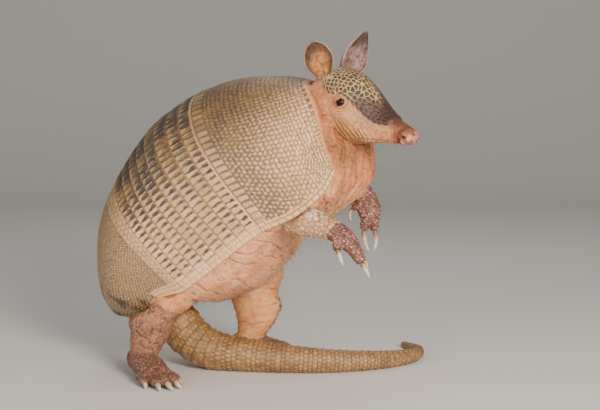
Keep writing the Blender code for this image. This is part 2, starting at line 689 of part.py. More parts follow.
def leg(side):
    """Thigh, shank, hind foot and its claws."""
    toes, across = hind_toes(side)
    lower = tube(SHANK[side], LEG_SIDES, 5, domes=(False, True))
    shank = new_object("shank_" + side, lower, SKIN_FINISH)
    cut_with(shank, body_tool(), shell_envelope())
    thigh = new_object("thigh_" + side, tube(THIGH[side], LEG_SIDES, 4), SKIN_FINISH)
    cut_with(thigh, tool_from(shank_tool(side)), body_tool(), shell_envelope())
    foot("hind_foot_" + side, HIND_SOLE[side], toes, across, True,
         [tool_from(shank_tool(side))])


def tail():
    """The ringed tail in a few lengths, lying on the floor from the bend to its tip."""
    path = [(x, y, z, radius, radius) for x, y, z, radius in TAIL_PATH]
    each = with_distance(path)[-1][0] / TAIL_LENGTHS
    for index in range(TAIL_LENGTHS):
        span = (each * index + GAP, each * (index + 1))
        last = index == TAIL_LENGTHS - 1
        bm = tube(path, TAIL_SIDES, TAIL_RINGS // TAIL_LENGTHS + 1, 0.0, TAIL_ACROSS, (False, last), span)
        press_to_floor(bm)
        obj = new_object("tail_" + str(index + 1), bm, TAIL_FINISH)
        if index == 0:
            cut_with(obj, body_tool(), shell_envelope())


# ---------------------------------------------------------------- assembly

def shell():
    """Shoulder shield, movable bands and hip shield."""
    half_gap = 0.5 * GAP
    plate("scapular_shield", 0.0, SCAPULAR_RUN - half_gap, SHIELD_STEPS, BAND_STEP, SHELL_FINISH)
    pitch = (PELVIC_RUN - SCAPULAR_RUN) / BAND_COUNT
    for index in range(BAND_COUNT):
        low = SCAPULAR_RUN + pitch * index + half_gap
        high = SCAPULAR_RUN + pitch * (index + 1) - half_gap
        plate("band_" + str(index + 1), low, high, 1, BAND_STEP, SHELL_FINISH)
    plate("pelvic_shield", PELVIC_RUN + half_gap, PELVIC_END, SHIELD_STEPS, 0.0, SHELL_FINISH)


def head_parts():
    """Head with its eyes, ears and shield."""
    head = new_object("head", head_bmesh(), SKIN_FINISH)
    for side in ("right", "left"):
        cut_with(head, ball(eye_centre(side), EYE_RADIUS + GAP, "socket_tool", EYE_FINISH))
        ball(eye_centre(side), EYE_RADIUS, "eye_" + side, EYE_FINISH)
        ear(side)
    new_object("head_shield", head_shield_bmesh(), SHELL_FINISH)


def clear_scene():
    for obj in list(bpy.data.objects):
        bpy.data.objects.remove(obj)


def centre_on_floor():
    """Moves the model so that its origin is the bottom centre of its box."""
    corners = [vert.co for obj in bpy.data.objects for vert in obj.data.vertices]
    middle_x = 0.5 * (min(co.x for co in corners) + max(co.x for co in corners))
    middle_y = 0.5 * (min(co.y for co in corners) + max(co.y for co in corners))
    for obj in bpy.data.objects:
        obj.data.transform(Matrix.Translation((-middle_x, -middle_y, 0.0)))


clear_scene()
shell()
body()
head_parts()
for each_side in ("right", "left"):
    arm(each_side)
    leg(each_side)
tail()
centre_on_floor()
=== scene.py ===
"""The looks of a nine-banded armadillo that sits up on its hind feet.

Metres, +Z up. Shapes that follow a formula are worked out in the body's own frame and then
moved by SHIFT, which is found from the eyes of the solid model.
"""

import math

import bmesh
import bpy
import numpy as np
from mathutils import Matrix, Vector, noise
from mathutils.bvhtree import BVHTree
from mathutils.kdtree import KDTree


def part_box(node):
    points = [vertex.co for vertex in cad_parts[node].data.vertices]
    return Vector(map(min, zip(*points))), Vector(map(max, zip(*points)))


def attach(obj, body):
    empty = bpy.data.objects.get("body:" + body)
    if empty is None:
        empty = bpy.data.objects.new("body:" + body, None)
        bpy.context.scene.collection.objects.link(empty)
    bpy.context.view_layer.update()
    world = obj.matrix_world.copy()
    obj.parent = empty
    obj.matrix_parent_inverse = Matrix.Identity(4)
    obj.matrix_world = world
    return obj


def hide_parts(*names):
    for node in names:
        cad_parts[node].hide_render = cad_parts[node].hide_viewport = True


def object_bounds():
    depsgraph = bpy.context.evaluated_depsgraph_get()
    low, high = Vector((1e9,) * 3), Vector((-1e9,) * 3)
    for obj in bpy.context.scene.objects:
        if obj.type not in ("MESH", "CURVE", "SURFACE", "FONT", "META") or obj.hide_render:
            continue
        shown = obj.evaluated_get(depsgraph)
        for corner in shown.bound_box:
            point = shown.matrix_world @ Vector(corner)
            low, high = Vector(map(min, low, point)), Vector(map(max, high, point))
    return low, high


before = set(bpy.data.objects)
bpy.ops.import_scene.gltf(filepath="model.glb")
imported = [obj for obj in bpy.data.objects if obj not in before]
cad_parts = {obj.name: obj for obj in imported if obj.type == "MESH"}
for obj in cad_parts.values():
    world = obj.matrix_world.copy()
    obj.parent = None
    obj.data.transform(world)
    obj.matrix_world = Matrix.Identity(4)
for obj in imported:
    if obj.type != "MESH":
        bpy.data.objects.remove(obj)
solid_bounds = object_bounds()

SIDES = {"right": -1.0, "left": 1.0}

# ---------------------------------------------------------------- the body's own shape

# run along the back, back X, back Z, hem X, hem Z, half width, belly depth, bow of the flank
SHELL_ROWS = np.array([
    (-0.030, 0.040, 0.241, 0.059, 0.217, 0.0260, 0.008, 0.000),
    (-0.018, 0.028, 0.257, 0.056, 0.207, 0.0372, 0.013, -0.003),
    (0.000, 0.008, 0.264, 0.051, 0.186, 0.0575, 0.016, -0.008),
    (0.033, -0.025, 0.267, 0.042, 0.167, 0.0650, 0.010, -0.003),
    (0.066, -0.058, 0.264, 0.019, 0.147, 0.0700, 0.007, 0.002),
    (0.100, -0.090, 0.253, -0.009, 0.134, 0.0735, 0.011, 0.005),
    (0.128, -0.115, 0.239, -0.027, 0.122, 0.0748, 0.022, 0.006),
    (0.156, -0.138, 0.221, -0.046, 0.107, 0.0755, 0.030, 0.006),
    (0.212, -0.167, 0.181, -0.082, 0.080, 0.0755, 0.022, 0.004),
    (0.246, -0.183, 0.149, -0.093, 0.076, 0.0745, 0.018, 0.002),
    (0.282, -0.189, 0.114, -0.105, 0.072, 0.0720, 0.017, 0.001),
    (0.322, -0.186, 0.074, -0.124, 0.059, 0.0620, 0.016, 0.000),
    (0.347, -0.176, 0.051, -0.151, 0.047, 0.0380, 0.009, 0.000),
    (0.353, -0.170, 0.051, -0.155, 0.049, 0.0240, 0.005, 0.000),
])
SCAPULAR_RUN = 0.100
PELVIC_RUN = 0.212
PELVIC_END = 0.347
BAND_COUNT = 8
SHELL_THICK = 0.0036
CENTRE_SHARE = 0.60
ARCH_SHARE = 0.68
ARCH_POWER = 0.90
HEM_TUCK = 0.10

# The head's frame: X to the nose, Y to its left, Z to the crown.
HEAD_AT = (0.0228, 0.000, 0.2315)
HEAD_TURN = (math.radians(15), math.radians(14), math.radians(-26))
EYE_AT = (0.0415, 0.0176, 0.0296)


def middle_of(node):
    low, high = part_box(node)
    return (Vector(low) + Vector(high)) / 2


def head_matrix():
    """The head's frame in the body's own frame."""
    roll, pitch, yaw = HEAD_TURN
    turn = Matrix.Rotation(yaw, 4, "Z") @ Matrix.Rotation(pitch, 4, "Y") @ Matrix.Rotation(roll, 4, "X")
    return Matrix.Translation(HEAD_AT) @ turn


def body_shift():
    """From the body's own frame to the solid model, by the place between the eyes."""
    between_eyes = (middle_of("eye_right") + middle_of("eye_left")) / 2
    return between_eyes - head_matrix() @ Vector((EYE_AT[0], 0.0, EYE_AT[2]))


SHIFT = body_shift()
HEAD = Matrix.Translation(SHIFT) @ head_matrix()
HEAD_INVERSE = HEAD.inverted()
BODY_AT = np.array(SHIFT)


# ---------------------------------------------------------------- tools for shapes

def interpolate(rows, keys):
    """Rows of a table at the keys, on a smooth curve through them; the first column is the key."""
    rows = np.asarray(rows, float)
    keys = np.asarray(keys, float)
    places = rows[:, 0]
    values = rows[:, 1:]
    last = len(rows) - 1
    order = np.arange(last + 1)
    before = np.maximum(order - 1, 0)
    after = np.minimum(order + 1, last)
    slopes = (values[after] - values[before]) / (places[after] - places[before])[:, None]
    low = np.clip(np.searchsorted(places, keys, side="right") - 1, 0, last - 1)
    span = (places[low + 1] - places[low])[..., None]
    t = np.clip((keys - places[low])[..., None] / span, 0.0, 1.0)
    return (
        values[low] * (2 * t**3 - 3 * t**2 + 1) + values[low + 1] * (3 * t**2 - 2 * t**3)
        + slopes[low] * span * (t**3 - 2 * t**2 + t) + slopes[low + 1] * span * (t**3 - t**2)
    )


def smooth(value, low, high):
    """0 below low, 1 above high, with a soft step between."""
    t = np.clip((value - low) / (high - low), 0.0, 1.0)
    return t * t * (3 - 2 * t)


def length_of(vectors):
    return np.linalg.norm(vectors, axis=-1)


def unit(vectors):
    """The vectors at a length of 1."""
    return vectors / np.maximum(length_of(vectors), 1e-12)[..., None]


def ridge(distance, width):
    """A rounded ridge over a distance from its line."""
    return np.exp(-(distance / width) ** 2)


def ripple(place, length):
    """A wave of the given length."""
    return np.sin(place * 2 * np.pi / length)


def to_border(share):
    """How far a value is from the nearest whole number."""
    return 0.5 - np.abs(share - np.floor(share) - 0.5)


def noise_at(points, size, offset=0.0):
    """Smooth noise of the given feature size at each point, about -1 to 1."""
    scaled = (points / size + offset).reshape(-1, 3)
    values = [noise.noise(Vector(point)) for point in scaled.tolist()]
    return np.array(values).reshape(points.shape[:-1])


def mix(a, b, amount):
    """From a to b, with one amount for each row."""
    amount = np.asarray(amount)[..., None]
    return np.asarray(a) * (1 - amount) + np.asarray(b) * amount


def layered(colour, *coats):
    """A colour under coats of other colours; each comes with its amount for each row."""
    for coat, amount in coats:
        colour = mix(colour, coat, amount)
    return colour


def tinged(colour, *tinges):
    """A colour drawn to its product with each factor; each comes with its amount for each row."""
    for factor, amount in tinges:
        colour = mix(colour, np.minimum(colour * np.array(factor), 1.0), amount)
    return colour


def moved(points, matrix):
    """Points carried through a matrix."""
    matrix = np.array(matrix)
    return points @ matrix[:3, :3].T + matrix[:3, 3]


def search_tree(points):
    """A tree that finds the nearest of the points."""
    tree = KDTree(len(points))
    for i, point in enumerate(points.tolist()):
        tree.insert(point, i)
    tree.balance()
    return tree


def grid_quads(index):
    """The faces between the points of a grid, from their numbers."""
    corners = (index[:-1, :-1], index[:-1, 1:], index[1:, 1:], index[1:, :-1])
    return np.stack(corners, -1).reshape(-1, 4)


def copied_faces(pattern, each, count):
    """The faces of many copies of one pattern, whose points follow one another."""
    return [[copy * each + i for i in face] for copy in range(count) for face in pattern]


def in_scene(name, data):
    """A new object with the data, linked to the scene."""
    obj = bpy.data.objects.new(name, data)
    bpy.context.scene.collection.objects.link(obj)
    return obj


def modified(bm, kind, **settings):
    """What a modifier makes of a bmesh, which is freed."""
    mesh = bpy.data.meshes.new("part")
    bm.to_mesh(mesh)
    bm.free()
    obj = in_scene("part", mesh)
    modifier = obj.modifiers.new("modifier", kind)
    for key, value in settings.items():
        setattr(modifier, key, value)
    depsgraph = bpy.context.evaluated_depsgraph_get()
    made = bpy.data.meshes.new_from_object(obj.evaluated_get(depsgraph))
    bpy.data.objects.remove(obj)
    bpy.data.meshes.remove(mesh)
    return made


def paint(mesh, layer, values):
    """Stores a colour for each point of a mesh."""
    attribute = mesh.attributes.new(layer, "FLOAT_COLOR", "POINT")
    rgba = np.ones((len(values), 4))
    rgba[:, :values.shape[1]] = values
    attribute.data.foreach_set("color", rgba.ravel())


def mesh_object(name, points, faces, finish, marks=None, tint=None, corner_uv=None):
    """A smooth object that rides on the body, with its marks and tint as point colours."""
    mesh = bpy.data.meshes.new(name)
    mesh.from_pydata(np.asarray(points).tolist(), [], faces)
    if marks is not None:
        paint(mesh, "marks", marks)
    if tint is not None:
        paint(mesh, "tint", tint)
    if corner_uv is not None:
        uv = mesh.uv_layers.new(name="OFBake")
        uv.data.foreach_set("uv", np.asarray(corner_uv).ravel())
    mesh.shade_smooth()
    mesh.materials.append(finish)
    obj = in_scene(name, mesh)
    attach(obj, "root")
    return obj


RIM = ((1, 0.35), (0, 1.0))         # the rings of a sheet's rim, and how far each is turned in
BACK_UV = 0.95                      # a sheet's face lies below this in its UV map, its back above


def edged(values):
    """A grid with its edge values repeated twice around it, for the rim of a sheet."""
    return np.pad(values, ((2, 2), (2, 2), (0, 0)), mode="edge")


def closed_sheet(outer, normals, lift, thick, step=8):
    """A thick sheet from a grid of points: its lifted face, a turned-in rim and a coarse back.

    Returns the points, the faces, the corner UVs, and the grid place of each point.
    """
    drop = edged(lift[..., None])
    for ring, share in RIM:
        for edge in (np.s_[ring, :], np.s_[-1 - ring, :], np.s_[:, ring], np.s_[:, -1 - ring]):
            drop[edge] = -thick * share
    base = edged(outer)
    out = edged(normals)
    face = base + out * drop
    rows, columns = face.shape[0] - 1, face.shape[1] - 1
    index = np.arange((rows + 1) * (columns + 1)).reshape(rows + 1, columns + 1)
    quads = grid_quads(index)
    faces = quads.tolist()
    points = face.reshape(-1, 3)
    v, u = np.meshgrid(np.linspace(0.0, BACK_UV - 0.01, rows + 1), np.linspace(0.0, 1.0, columns + 1),
                       indexing="ij")
    corner_uv = [np.stack([u.ravel()[quads], v.ravel()[quads]], -1).reshape(-1, 2)]
    extra = {}
    back = base - out * thick
    row_stops = list(range(0, rows, step)) + [rows]
    column_stops = list(range(0, columns, step)) + [columns]

    def back_index(i, j):
        if i in (0, rows) or j in (0, columns):
            return int(index[i, j])
        return extra.setdefault((i, j), len(points) + len(extra))

    for i0, i1 in zip(row_stops, row_stops[1:]):
        for j0, j1 in zip(column_stops, column_stops[1:]):
            top = range(j0, j1) if i0 == 0 else [j0]
            side = range(i0, i1) if j1 == columns else [i0]
            bottom = range(j1, j0, -1) if i1 == rows else [j1]
            return_side = range(i1, i0, -1) if j0 == 0 else [i1]
            ring = [(i0, j) for j in top] + [(i, j1) for i in side]
            ring += [(i1, j) for j in bottom] + [(i, j0) for i in return_side]
            ring.reverse()
            faces.append([back_index(i, j) for i, j in ring])
            places = np.array(ring, float)
            on_back = [places[:, 1] / columns, BACK_UV + (1.0 - BACK_UV) * places[:, 0] / rows]
            corner_uv.append(np.stack(on_back, -1))
    inside = np.array([back[i, j] for i, j in extra]).reshape(-1, 3)
    grid_of = np.concatenate([np.arange(len(points)), [index[i, j] for i, j in extra]]).astype(int)
    return np.concatenate([points, inside]), faces, np.concatenate(corner_uv), grid_of


def spread_to_sheet(values, grid_of):
    """Values on the grid, carried out to the rim and to the back of its sheet."""
    return edged(values).reshape(-1, values.shape[-1])[grid_of]


# ---------------------------------------------------------------- tools for finishes

def feed(tree, target, inputs):
    """Sets a node's inputs to values or links them to sockets."""
    for key, value in inputs.items():
        if isinstance(value, bpy.types.NodeSocket):
            tree.links.new(value, target.inputs[key])
        else:
            target.inputs[key].default_value = value


def node(tree, kind, inputs=None, **settings):
    """A shader node with its inputs set to values or linked to sockets."""
    made = tree.nodes.new(kind)
    for key, value in settings.items():
        setattr(made, key, value)
    feed(tree, made, inputs or {})
    return made


def math_node(tree, operation, a, b=0.0, c=0.0, clamp=False):
    made = node(tree, "ShaderNodeMath", {0: a, 1: b, 2: c}, operation=operation, use_clamp=clamp)
    return made.outputs[0]


def blend_colours(tree, factor, a, b, mode="MIX"):
    made = node(tree, "ShaderNodeMix", {0: factor, 6: a, 7: b}, data_type="RGBA", blend_type=mode)
    return made.outputs[2]


def ramp(tree, factor, low, high):
    """0 below low, 1 above high, in a smooth step."""
    inputs = {"Value": factor, "From Min": low, "From Max": high}
    made = node(tree, "ShaderNodeMapRange", inputs, interpolation_type="SMOOTHSTEP")
    return made.outputs["Result"]


def new_group(name, sockets_in, sockets_out):
    """An empty shader group; sockets are name to (type, default)."""
    tree = bpy.data.node_groups.new(name, "ShaderNodeTree")
    for label, (kind, default) in sockets_in.items():
        socket = tree.interface.new_socket(label, in_out="INPUT", socket_type=kind)
        socket.default_value = default
    for label, kind in sockets_out.items():
        tree.interface.new_socket(label, in_out="OUTPUT", socket_type=kind)
    return tree, tree.nodes.new("NodeGroupInput"), tree.nodes.new("NodeGroupOutput")


def use_group(tree, group, inputs):
    return node(tree, "ShaderNodeGroup", inputs, node_tree=group)


FLOAT = "NodeSocketFloat"
COLOUR = "NodeSocketColor"
PLACE = "Object"    # every piece sits at the origin, so this is the place on the animal


def weathered_group():
    """Blotches of age and dust over a colour, and the small changes of gloss that go with them."""
    tree, given, out = new_group(
        "weathered",
        {"Colour": (COLOUR, (0.5, 0.5, 0.5, 1)), "Stain": (COLOUR, (0.2, 0.15, 0.1, 1)),
         "Blotch size": (FLOAT, 0.02), "Amount": (FLOAT, 0.3), "Roughness": (FLOAT, 0.6)},
        {"Colour": COLOUR, "Roughness": FLOAT},
    )
    given = given.outputs
    place = node(tree, "ShaderNodeTexCoord").outputs[PLACE]
    scale = math_node(tree, "DIVIDE", 1.0, given["Blotch size"])
    broad = node(tree, "ShaderNodeTexNoise", {"Vector": place, "Scale": scale, "Detail": 6.0,
                                              "Roughness": 0.62}).outputs["Fac"]
    fine_scale = math_node(tree, "MULTIPLY", scale, 14.0)
    fine = node(tree, "ShaderNodeTexNoise", {"Vector": place, "Scale": fine_scale,
                                             "Detail": 3.0}).outputs["Fac"]
    uneven = math_node(tree, "SUBTRACT", fine, 0.5)
    stained = math_node(tree, "MULTIPLY", ramp(tree, broad, 0.42, 0.72), given["Amount"])
    colour = blend_colours(tree, stained, given["Colour"], given["Stain"])
    bright = math_node(tree, "MULTIPLY_ADD", uneven, 0.5, 1.0)
    value = node(tree, "ShaderNodeHueSaturation", {"Color": colour, "Value": bright})
    rough = math_node(tree, "MULTIPLY_ADD", uneven, 0.35, given["Roughness"], clamp=True)
    feed(tree, out, {"Colour": value.outputs["Color"], "Roughness": rough})
    return tree


def pebble_group():
    """Fine round grain, as on hide and horn, with the lines between the grains as a mask."""
    tree, given, out = new_group(
        "pebbled",
        {"Grain size": (FLOAT, 0.001)},
        {"Height": FLOAT, "Line": FLOAT},
    )
    place = node(tree, "ShaderNodeTexCoord").outputs[PLACE]
    scale = math_node(tree, "DIVIDE", 1.0, given.outputs["Grain size"])
    cells = node(tree, "ShaderNodeTexVoronoi", {"Vector": place, "Scale": scale},
                 feature="DISTANCE_TO_EDGE").outputs["Distance"]
    line = math_node(tree, "SUBTRACT", 1.0, ramp(tree, cells, 0.0, 0.12))
    feed(tree, out, {"Height": ramp(tree, cells, 0.0, 0.35), "Line": line})
    return tree


def crease_group():
    """Long fine creases that wander over bare skin."""
    tree, given, out = new_group(
        "creased",
        {"Spacing": (FLOAT, 0.004), "Wander": (FLOAT, 0.5)},
        {"Height": FLOAT},
    )
    place = node(tree, "ShaderNodeTexCoord").outputs[PLACE]
    scale = math_node(tree, "DIVIDE", 1.0, given.outputs["Spacing"])
    creases = node(tree, "ShaderNodeTexNoise", {"Vector": place, "Scale": scale, "Detail": 4.0,
                                                "Distortion": given.outputs["Wander"]})
    folded = math_node(tree, "ABSOLUTE", math_node(tree, "SUBTRACT", creases.outputs["Fac"], 0.5))
    feed(tree, out, {"Height": ramp(tree, folded, 0.0, 0.12)})
    return tree


WEATHERED = weathered_group()
PEBBLED = pebble_group()
CREASED = crease_group()


def new_finish(name, **constants):
    """A material whose shader has the given constants; returns it with its tree and shader."""
    made = bpy.data.materials.new(name)
    made.use_nodes = True
    shader = made.node_tree.nodes["Principled BSDF"]
    for key, value in constants.items():
        shader.inputs[key.replace("_", " ")].default_value = value
    return made, made.node_tree, shader


def bump(tree, shader, height, distance, strength=1.0):
    """A bump node that feeds the shader; the distance is the relief's depth in metres."""
    made = node(tree, "ShaderNodeBump", {"Height": height, "Distance": distance, "Strength": strength})
    feed(tree, shader, {"Normal": made.outputs["Normal"]})


def point_colour(tree, layer):
    return node(tree, "ShaderNodeAttribute", attribute_name=layer, attribute_type="GEOMETRY")


def shell_finish():
    """Horny scutes: marks are the seam, the scute's own tone, its dark mark and bare skin."""
    made, tree, shader = new_finish("shell_horn", Coat_Roughness=0.35)
    marks = point_colour(tree, "marks")
    parts = node(tree, "ShaderNodeSeparateColor", {"Color": marks.outputs["Color"]})
    seam, tone, dark = (parts.outputs[i] for i in range(3))
    horn = blend_colours(tree, tone, SHELL_OLIVE, SHELL_CREAM)
    horn = blend_colours(tree, dark, horn, SHELL_DARK)
    aged = use_group(tree, WEATHERED, {"Colour": horn, "Stain": SHELL_STAIN, "Blotch size": 0.026,
                                       "Amount": 0.50, "Roughness": 0.42})
    lined = blend_colours(tree, math_node(tree, "MULTIPLY", seam, 0.88), aged.outputs["Colour"], SHELL_SEAM)
    bare = blend_colours(tree, marks.outputs["Alpha"], lined, SHELL_SKIN)
    rough = math_node(tree, "MULTIPLY_ADD", seam, 0.25, aged.outputs["Roughness"])
    coat = math_node(tree, "MULTIPLY_ADD", seam, -0.25, 0.25)
    feed(tree, shader, {"Base Color": bare, "Roughness": rough, "Coat Weight": coat})
    grain = use_group(tree, PEBBLED, {"Grain size": 0.0009})
    bump(tree, shader, grain.outputs["Height"], 0.00012, 0.5)
    return made


def tinted_finish(name, grain_size, grain_depth, roughness, crease=0.0, line=0.35, coat=0.0, **constants):
    """Hide or horn that takes its colour from the piece's own tint, with grain and creases."""
    made, tree, shader = new_finish(name, Coat_Weight=coat, **constants)
    tint = point_colour(tree, "tint").outputs["Color"]
    stain = blend_colours(tree, 1.0, tint, (0.62, 0.46, 0.40, 1), "MULTIPLY")
    aged = use_group(tree, WEATHERED, {"Colour": tint, "Stain": stain, "Blotch size": 0.012,
                                       "Amount": 0.55, "Roughness": roughness})
    grain = use_group(tree, PEBBLED, {"Grain size": grain_size})
    shade = blend_colours(tree, math_node(tree, "MULTIPLY", grain.outputs["Line"], line),
                          aged.outputs["Colour"], stain)
    feed(tree, shader, {"Base Color": shade, "Roughness": aged.outputs["Roughness"]})
    height = grain.outputs["Height"]
    if crease:
        folds = use_group(tree, CREASED, {"Spacing": 0.006, "Wander": 1.2})
        height = math_node(tree, "MULTIPLY_ADD", folds.outputs["Height"], crease, height)
    bump(tree, shader, height, grain_depth)
    return made


def eye_finish():
    """A dark brown iris about a black pupil, under a clear wet front."""
    made, tree, shader = new_finish("eye_wet", Roughness=0.06, Coat_Weight=0.35, Coat_Roughness=0.02,
                                    IOR=1.25)
    feed(tree, shader, {"Base Color": point_colour(tree, "tint").outputs["Color"]})
    return made


SHELL_OLIVE = (0.185, 0.118, 0.054, 1)
SHELL_CREAM = (0.80, 0.480, 0.265, 1)
SHELL_DARK = (0.036, 0.026, 0.022, 1)
SHELL_STAIN = (0.42, 0.255, 0.068, 1)
SHELL_SEAM = (0.090, 0.054, 0.026, 1)
SHELL_SKIN = (0.60, 0.325, 0.180, 1)

SHELL_HORN = shell_finish()
BARE_SKIN = tinted_finish("bare_skin", 0.0011, 0.00025, 0.52, crease=1.2, line=0.25,
                          Subsurface_Weight=0.08, Subsurface_Scale=0.004)
EAR_SKIN = tinted_finish("ear_leather", 0.0009, 0.00020, 0.50, crease=0.5,
                         Subsurface_Weight=0.10, Subsurface_Scale=0.003)
SCALE_HORN = tinted_finish("scale_horn", 0.0008, 0.00010, 0.45, coat=0.15, Coat_Roughness=0.35)
CLAW_HORN = tinted_finish("claw_horn", 0.0006, 0.00006, 0.32, coat=0.3, Coat_Roughness=0.2)
EYE_WET = eye_finish()
BRISTLE = tinted_finish("bristle", 0.002, 0.00002, 0.45)


# ---------------------------------------------------------------- shell

def shell_surface(run, across, lift=0.0):
    """Points of the shell: across runs from -1 at the right hem over the back to 1."""
    run, across, lift = np.broadcast_arrays(run, across, lift)
    share = np.minimum(np.abs(across), 1.0)
    bow = interpolate(SHELL_ROWS, run)[..., -1]
    row = interpolate(SHELL_ROWS, run + bow * np.sin(np.pi * share) ** 2)
    back = row[..., 0:2]
    hem = row[..., 2:4]
    half_width = row[..., 4] + lift
    centre = back + (hem - back) * CENTRE_SHARE
    rise = back - centre
    height = length_of(rise)
    wall = length_of(hem - centre)
    angle = 0.5 * np.pi * np.minimum(share / ARCH_SHARE, 1.0)
    down = np.maximum((share - ARCH_SHARE) / (1.0 - ARCH_SHARE), 0.0)
    on_arch = share < ARCH_SHARE
    sideways = half_width * np.where(on_arch, np.sin(angle) ** ARCH_POWER, 1.0 - HEM_TUCK * down**2)
    arch = np.maximum(np.cos(angle), 0.0) ** ARCH_POWER * (height + lift)
    up = np.where(on_arch, arch, -wall * down)
    in_plane = centre + rise / height[..., None] * up[..., None]
    return np.stack([in_plane[..., 0], np.copysign(sideways, across), in_plane[..., 1]], -1) + BODY_AT


GIRTH_SAMPLES = np.linspace(-1.0, 1.0, 601)


def girth(run):
    """Distance walked from the right hem to each girth sample, at one run."""
    steps = length_of(np.diff(shell_surface(run, GIRTH_SAMPLES), axis=0))
    return np.concatenate([[0.0], np.cumsum(steps)])


class ShellGrid:
    """A fine grid over one plate of the shell, with distances measured on its surface."""

    def __init__(self, low, high, pitch):
        rows = math.ceil((high - low) / pitch)
        runs = np.linspace(low, high, rows + 1)
        columns = math.ceil(girth((low + high) / 2)[-1] / pitch)
        walked = [girth(run) for run in runs]
        even = np.linspace(0.0, 1.0, columns + 1)
        across = np.stack([np.interp(even * w[-1], w, GIRTH_SAMPLES) for w in walked])
        self.girths = np.array([w[-1] for w in walked])[:, None]
        self.run = np.broadcast_to(runs[:, None], across.shape)
        self.from_right = even[None, :] * self.girths
        self.from_hem = np.minimum(self.from_right, self.girths - self.from_right)
        self.points = shell_surface(self.run, across)
        along_run = np.gradient(self.points, axis=0)
        along_girth = np.gradient(self.points, axis=1)
        self.normals = unit(np.cross(along_girth, along_run))

    def scute_row(self, count, start=0.0):
        """Each point's place in a row of scutes, with the scute's number whole, and their width."""
        return self.from_right / self.girths * count + start, self.girths / count


def brick(x, y, size):
    """Distance to the nearest seam of a brick pattern, and the brick's number."""
    length, width = size
    course = np.floor(y / width)
    shifted = x / length + 0.5 * (course % 2)
    to_seam = np.minimum(to_border(shifted) * length, to_border(y / width) * width)
    return to_seam, np.floor(shifted) * 131.0 + course * 17.0


def scute_tone(number):
    """A steady random value from 0 to 1 for each scute number."""
    value = np.sin(number * 12.9898) * 43758.5453
    return value - np.floor(value)


ROW_SPACING = 0.87          # of the pitch, between two rows of large scutes
SMALL_SIZE = 0.58           # of a large scute
JITTER = 0.11               # of the pitch


def rosettes(low, high, pitch, crowding, seed, merging=0.0):
    """Large scutes in offset rows with small ones at the corners between: centres and sizes."""
    draw = np.random.default_rng(seed)
    rows = round((high - low) / (pitch * ROW_SPACING))
    centres = []
    sizes = []
    for k in range(-1, rows + 2):
        offset = 0.5 * (k % 2)
        for turn, place, size in ((offset, 0.0, 1.0), (offset + 0.5, 0.33, SMALL_SIZE),
                                  (offset, 0.66, SMALL_SIZE)):
            run = low + (high - low) * (k + place) / rows
            walked = girth(run)
            from_hem = np.minimum(walked, walked[-1] - walked)
            crowd = 1.0 + crowding * smooth(from_hem, 0.045, 0.120)
            counted = np.concatenate([[0.0], np.cumsum(0.5 * (crowd[1:] + crowd[:-1]) * np.diff(walked))])
            count = round(counted[-1] / pitch)
            steps = (np.arange(count) + turn) / count + draw.normal(0.0, JITTER / count, count)
            across = np.interp(steps * counted[-1], counted, GIRTH_SAMPLES)
            runs = run + draw.normal(0.0, JITTER * pitch, count)
            hem = np.interp(across, GIRTH_SAMPLES, from_hem)
            merged = merging * (size < 1.0) * smooth(hem, 0.115, 0.040) * smooth(runs, 0.080, 0.030)
            centres.append(shell_surface(runs, across))
            sizes.append(size * (1.0 - 0.80 * merged) * draw.uniform(0.9, 1.1, count))
    return np.concatenate(centres), np.concatenate(sizes)


def nearest_scutes(centres, sizes, points, among):
    """Distance to the nearest seam between scutes, and the scute's number, at each point."""
    tree = search_tree(centres)
    flat = points.reshape(-1, 3)
    found = np.empty((len(flat), 2))
    for i, point in enumerate(flat.tolist()):
        ranked = sorted((distance / sizes[j], j) for _, j, distance in tree.find_n(point, among))
        found[i] = ranked[1][0] - ranked[0][0], ranked[0][1]
    seam, number = found.T.reshape(2, *points.shape[:-1])
    return 0.5 * seam, number


def scute_relief(to_seam, high, soft):
    """Domed scutes: the height rises from the seam over the soft distance."""
    return high * (1.0 - (1.0 - np.clip(to_seam / soft, 0.0, 1.0)) ** 2)


def add_plate(name, grid, lift, seam, tone, dark, skin):
    """A plate of the shell; its marks are the seams, the tone, the dark marks and bare skin."""
    marks = np.clip(np.stack(np.broadcast_arrays(seam, tone, dark, skin), -1), 0, 1)
    points, faces, corner_uv, grid_of = closed_sheet(grid.points, grid.normals, lift, SHELL_THICK)
    obj = mesh_object(name, points, faces, SHELL_HORN,
                      marks=spread_to_sheet(marks, grid_of), corner_uv=corner_uv)
    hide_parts(name)


SHIELD_PITCH = 0.00075
BAND_PITCH = 0.0007
HEM_SCUTE = (0.0075, 0.0046)       # length along the hem, and depth, of the pale scutes there
BAND_HEM_SCUTE = (0.0072, 0.0046)
HEM_ROWS = 1.6                     # rows of them on the shoulder shield, and on the hip shield
PELVIC_HEM_ROWS = 2.6
PELVIC_HEM_END = PELVIC_RUN + 0.075     # where they end on the hip shield
BAND_SCUTES = 60                   # scutes from hem to hem in one band
PELVIC_SCUTES = 66                 # and in the rows along the hip shield's front
ROSETTE_PITCH = 0.0046
PELVIC_PITCH = 0.0036
SMALL_BELOW = 0.7                  # scutes below this size count as the small ones of a rosette
LAST_ROW = 0.0095                  # the shoulder shield's last row, laid like a band
BEADS = (0.0036, 0.0034)           # pitch and depth of the beads on its front edge
FRONT_ROW = 0.0063                 # depth of one of the three rows on the hip shield's front
FRONT_ROWS_END = PELVIC_RUN + 0.019
LAP = 0.0006                       # how far a band goes past the start of the next
SINK = -0.0004                     # the seams lie this far under the solid's face


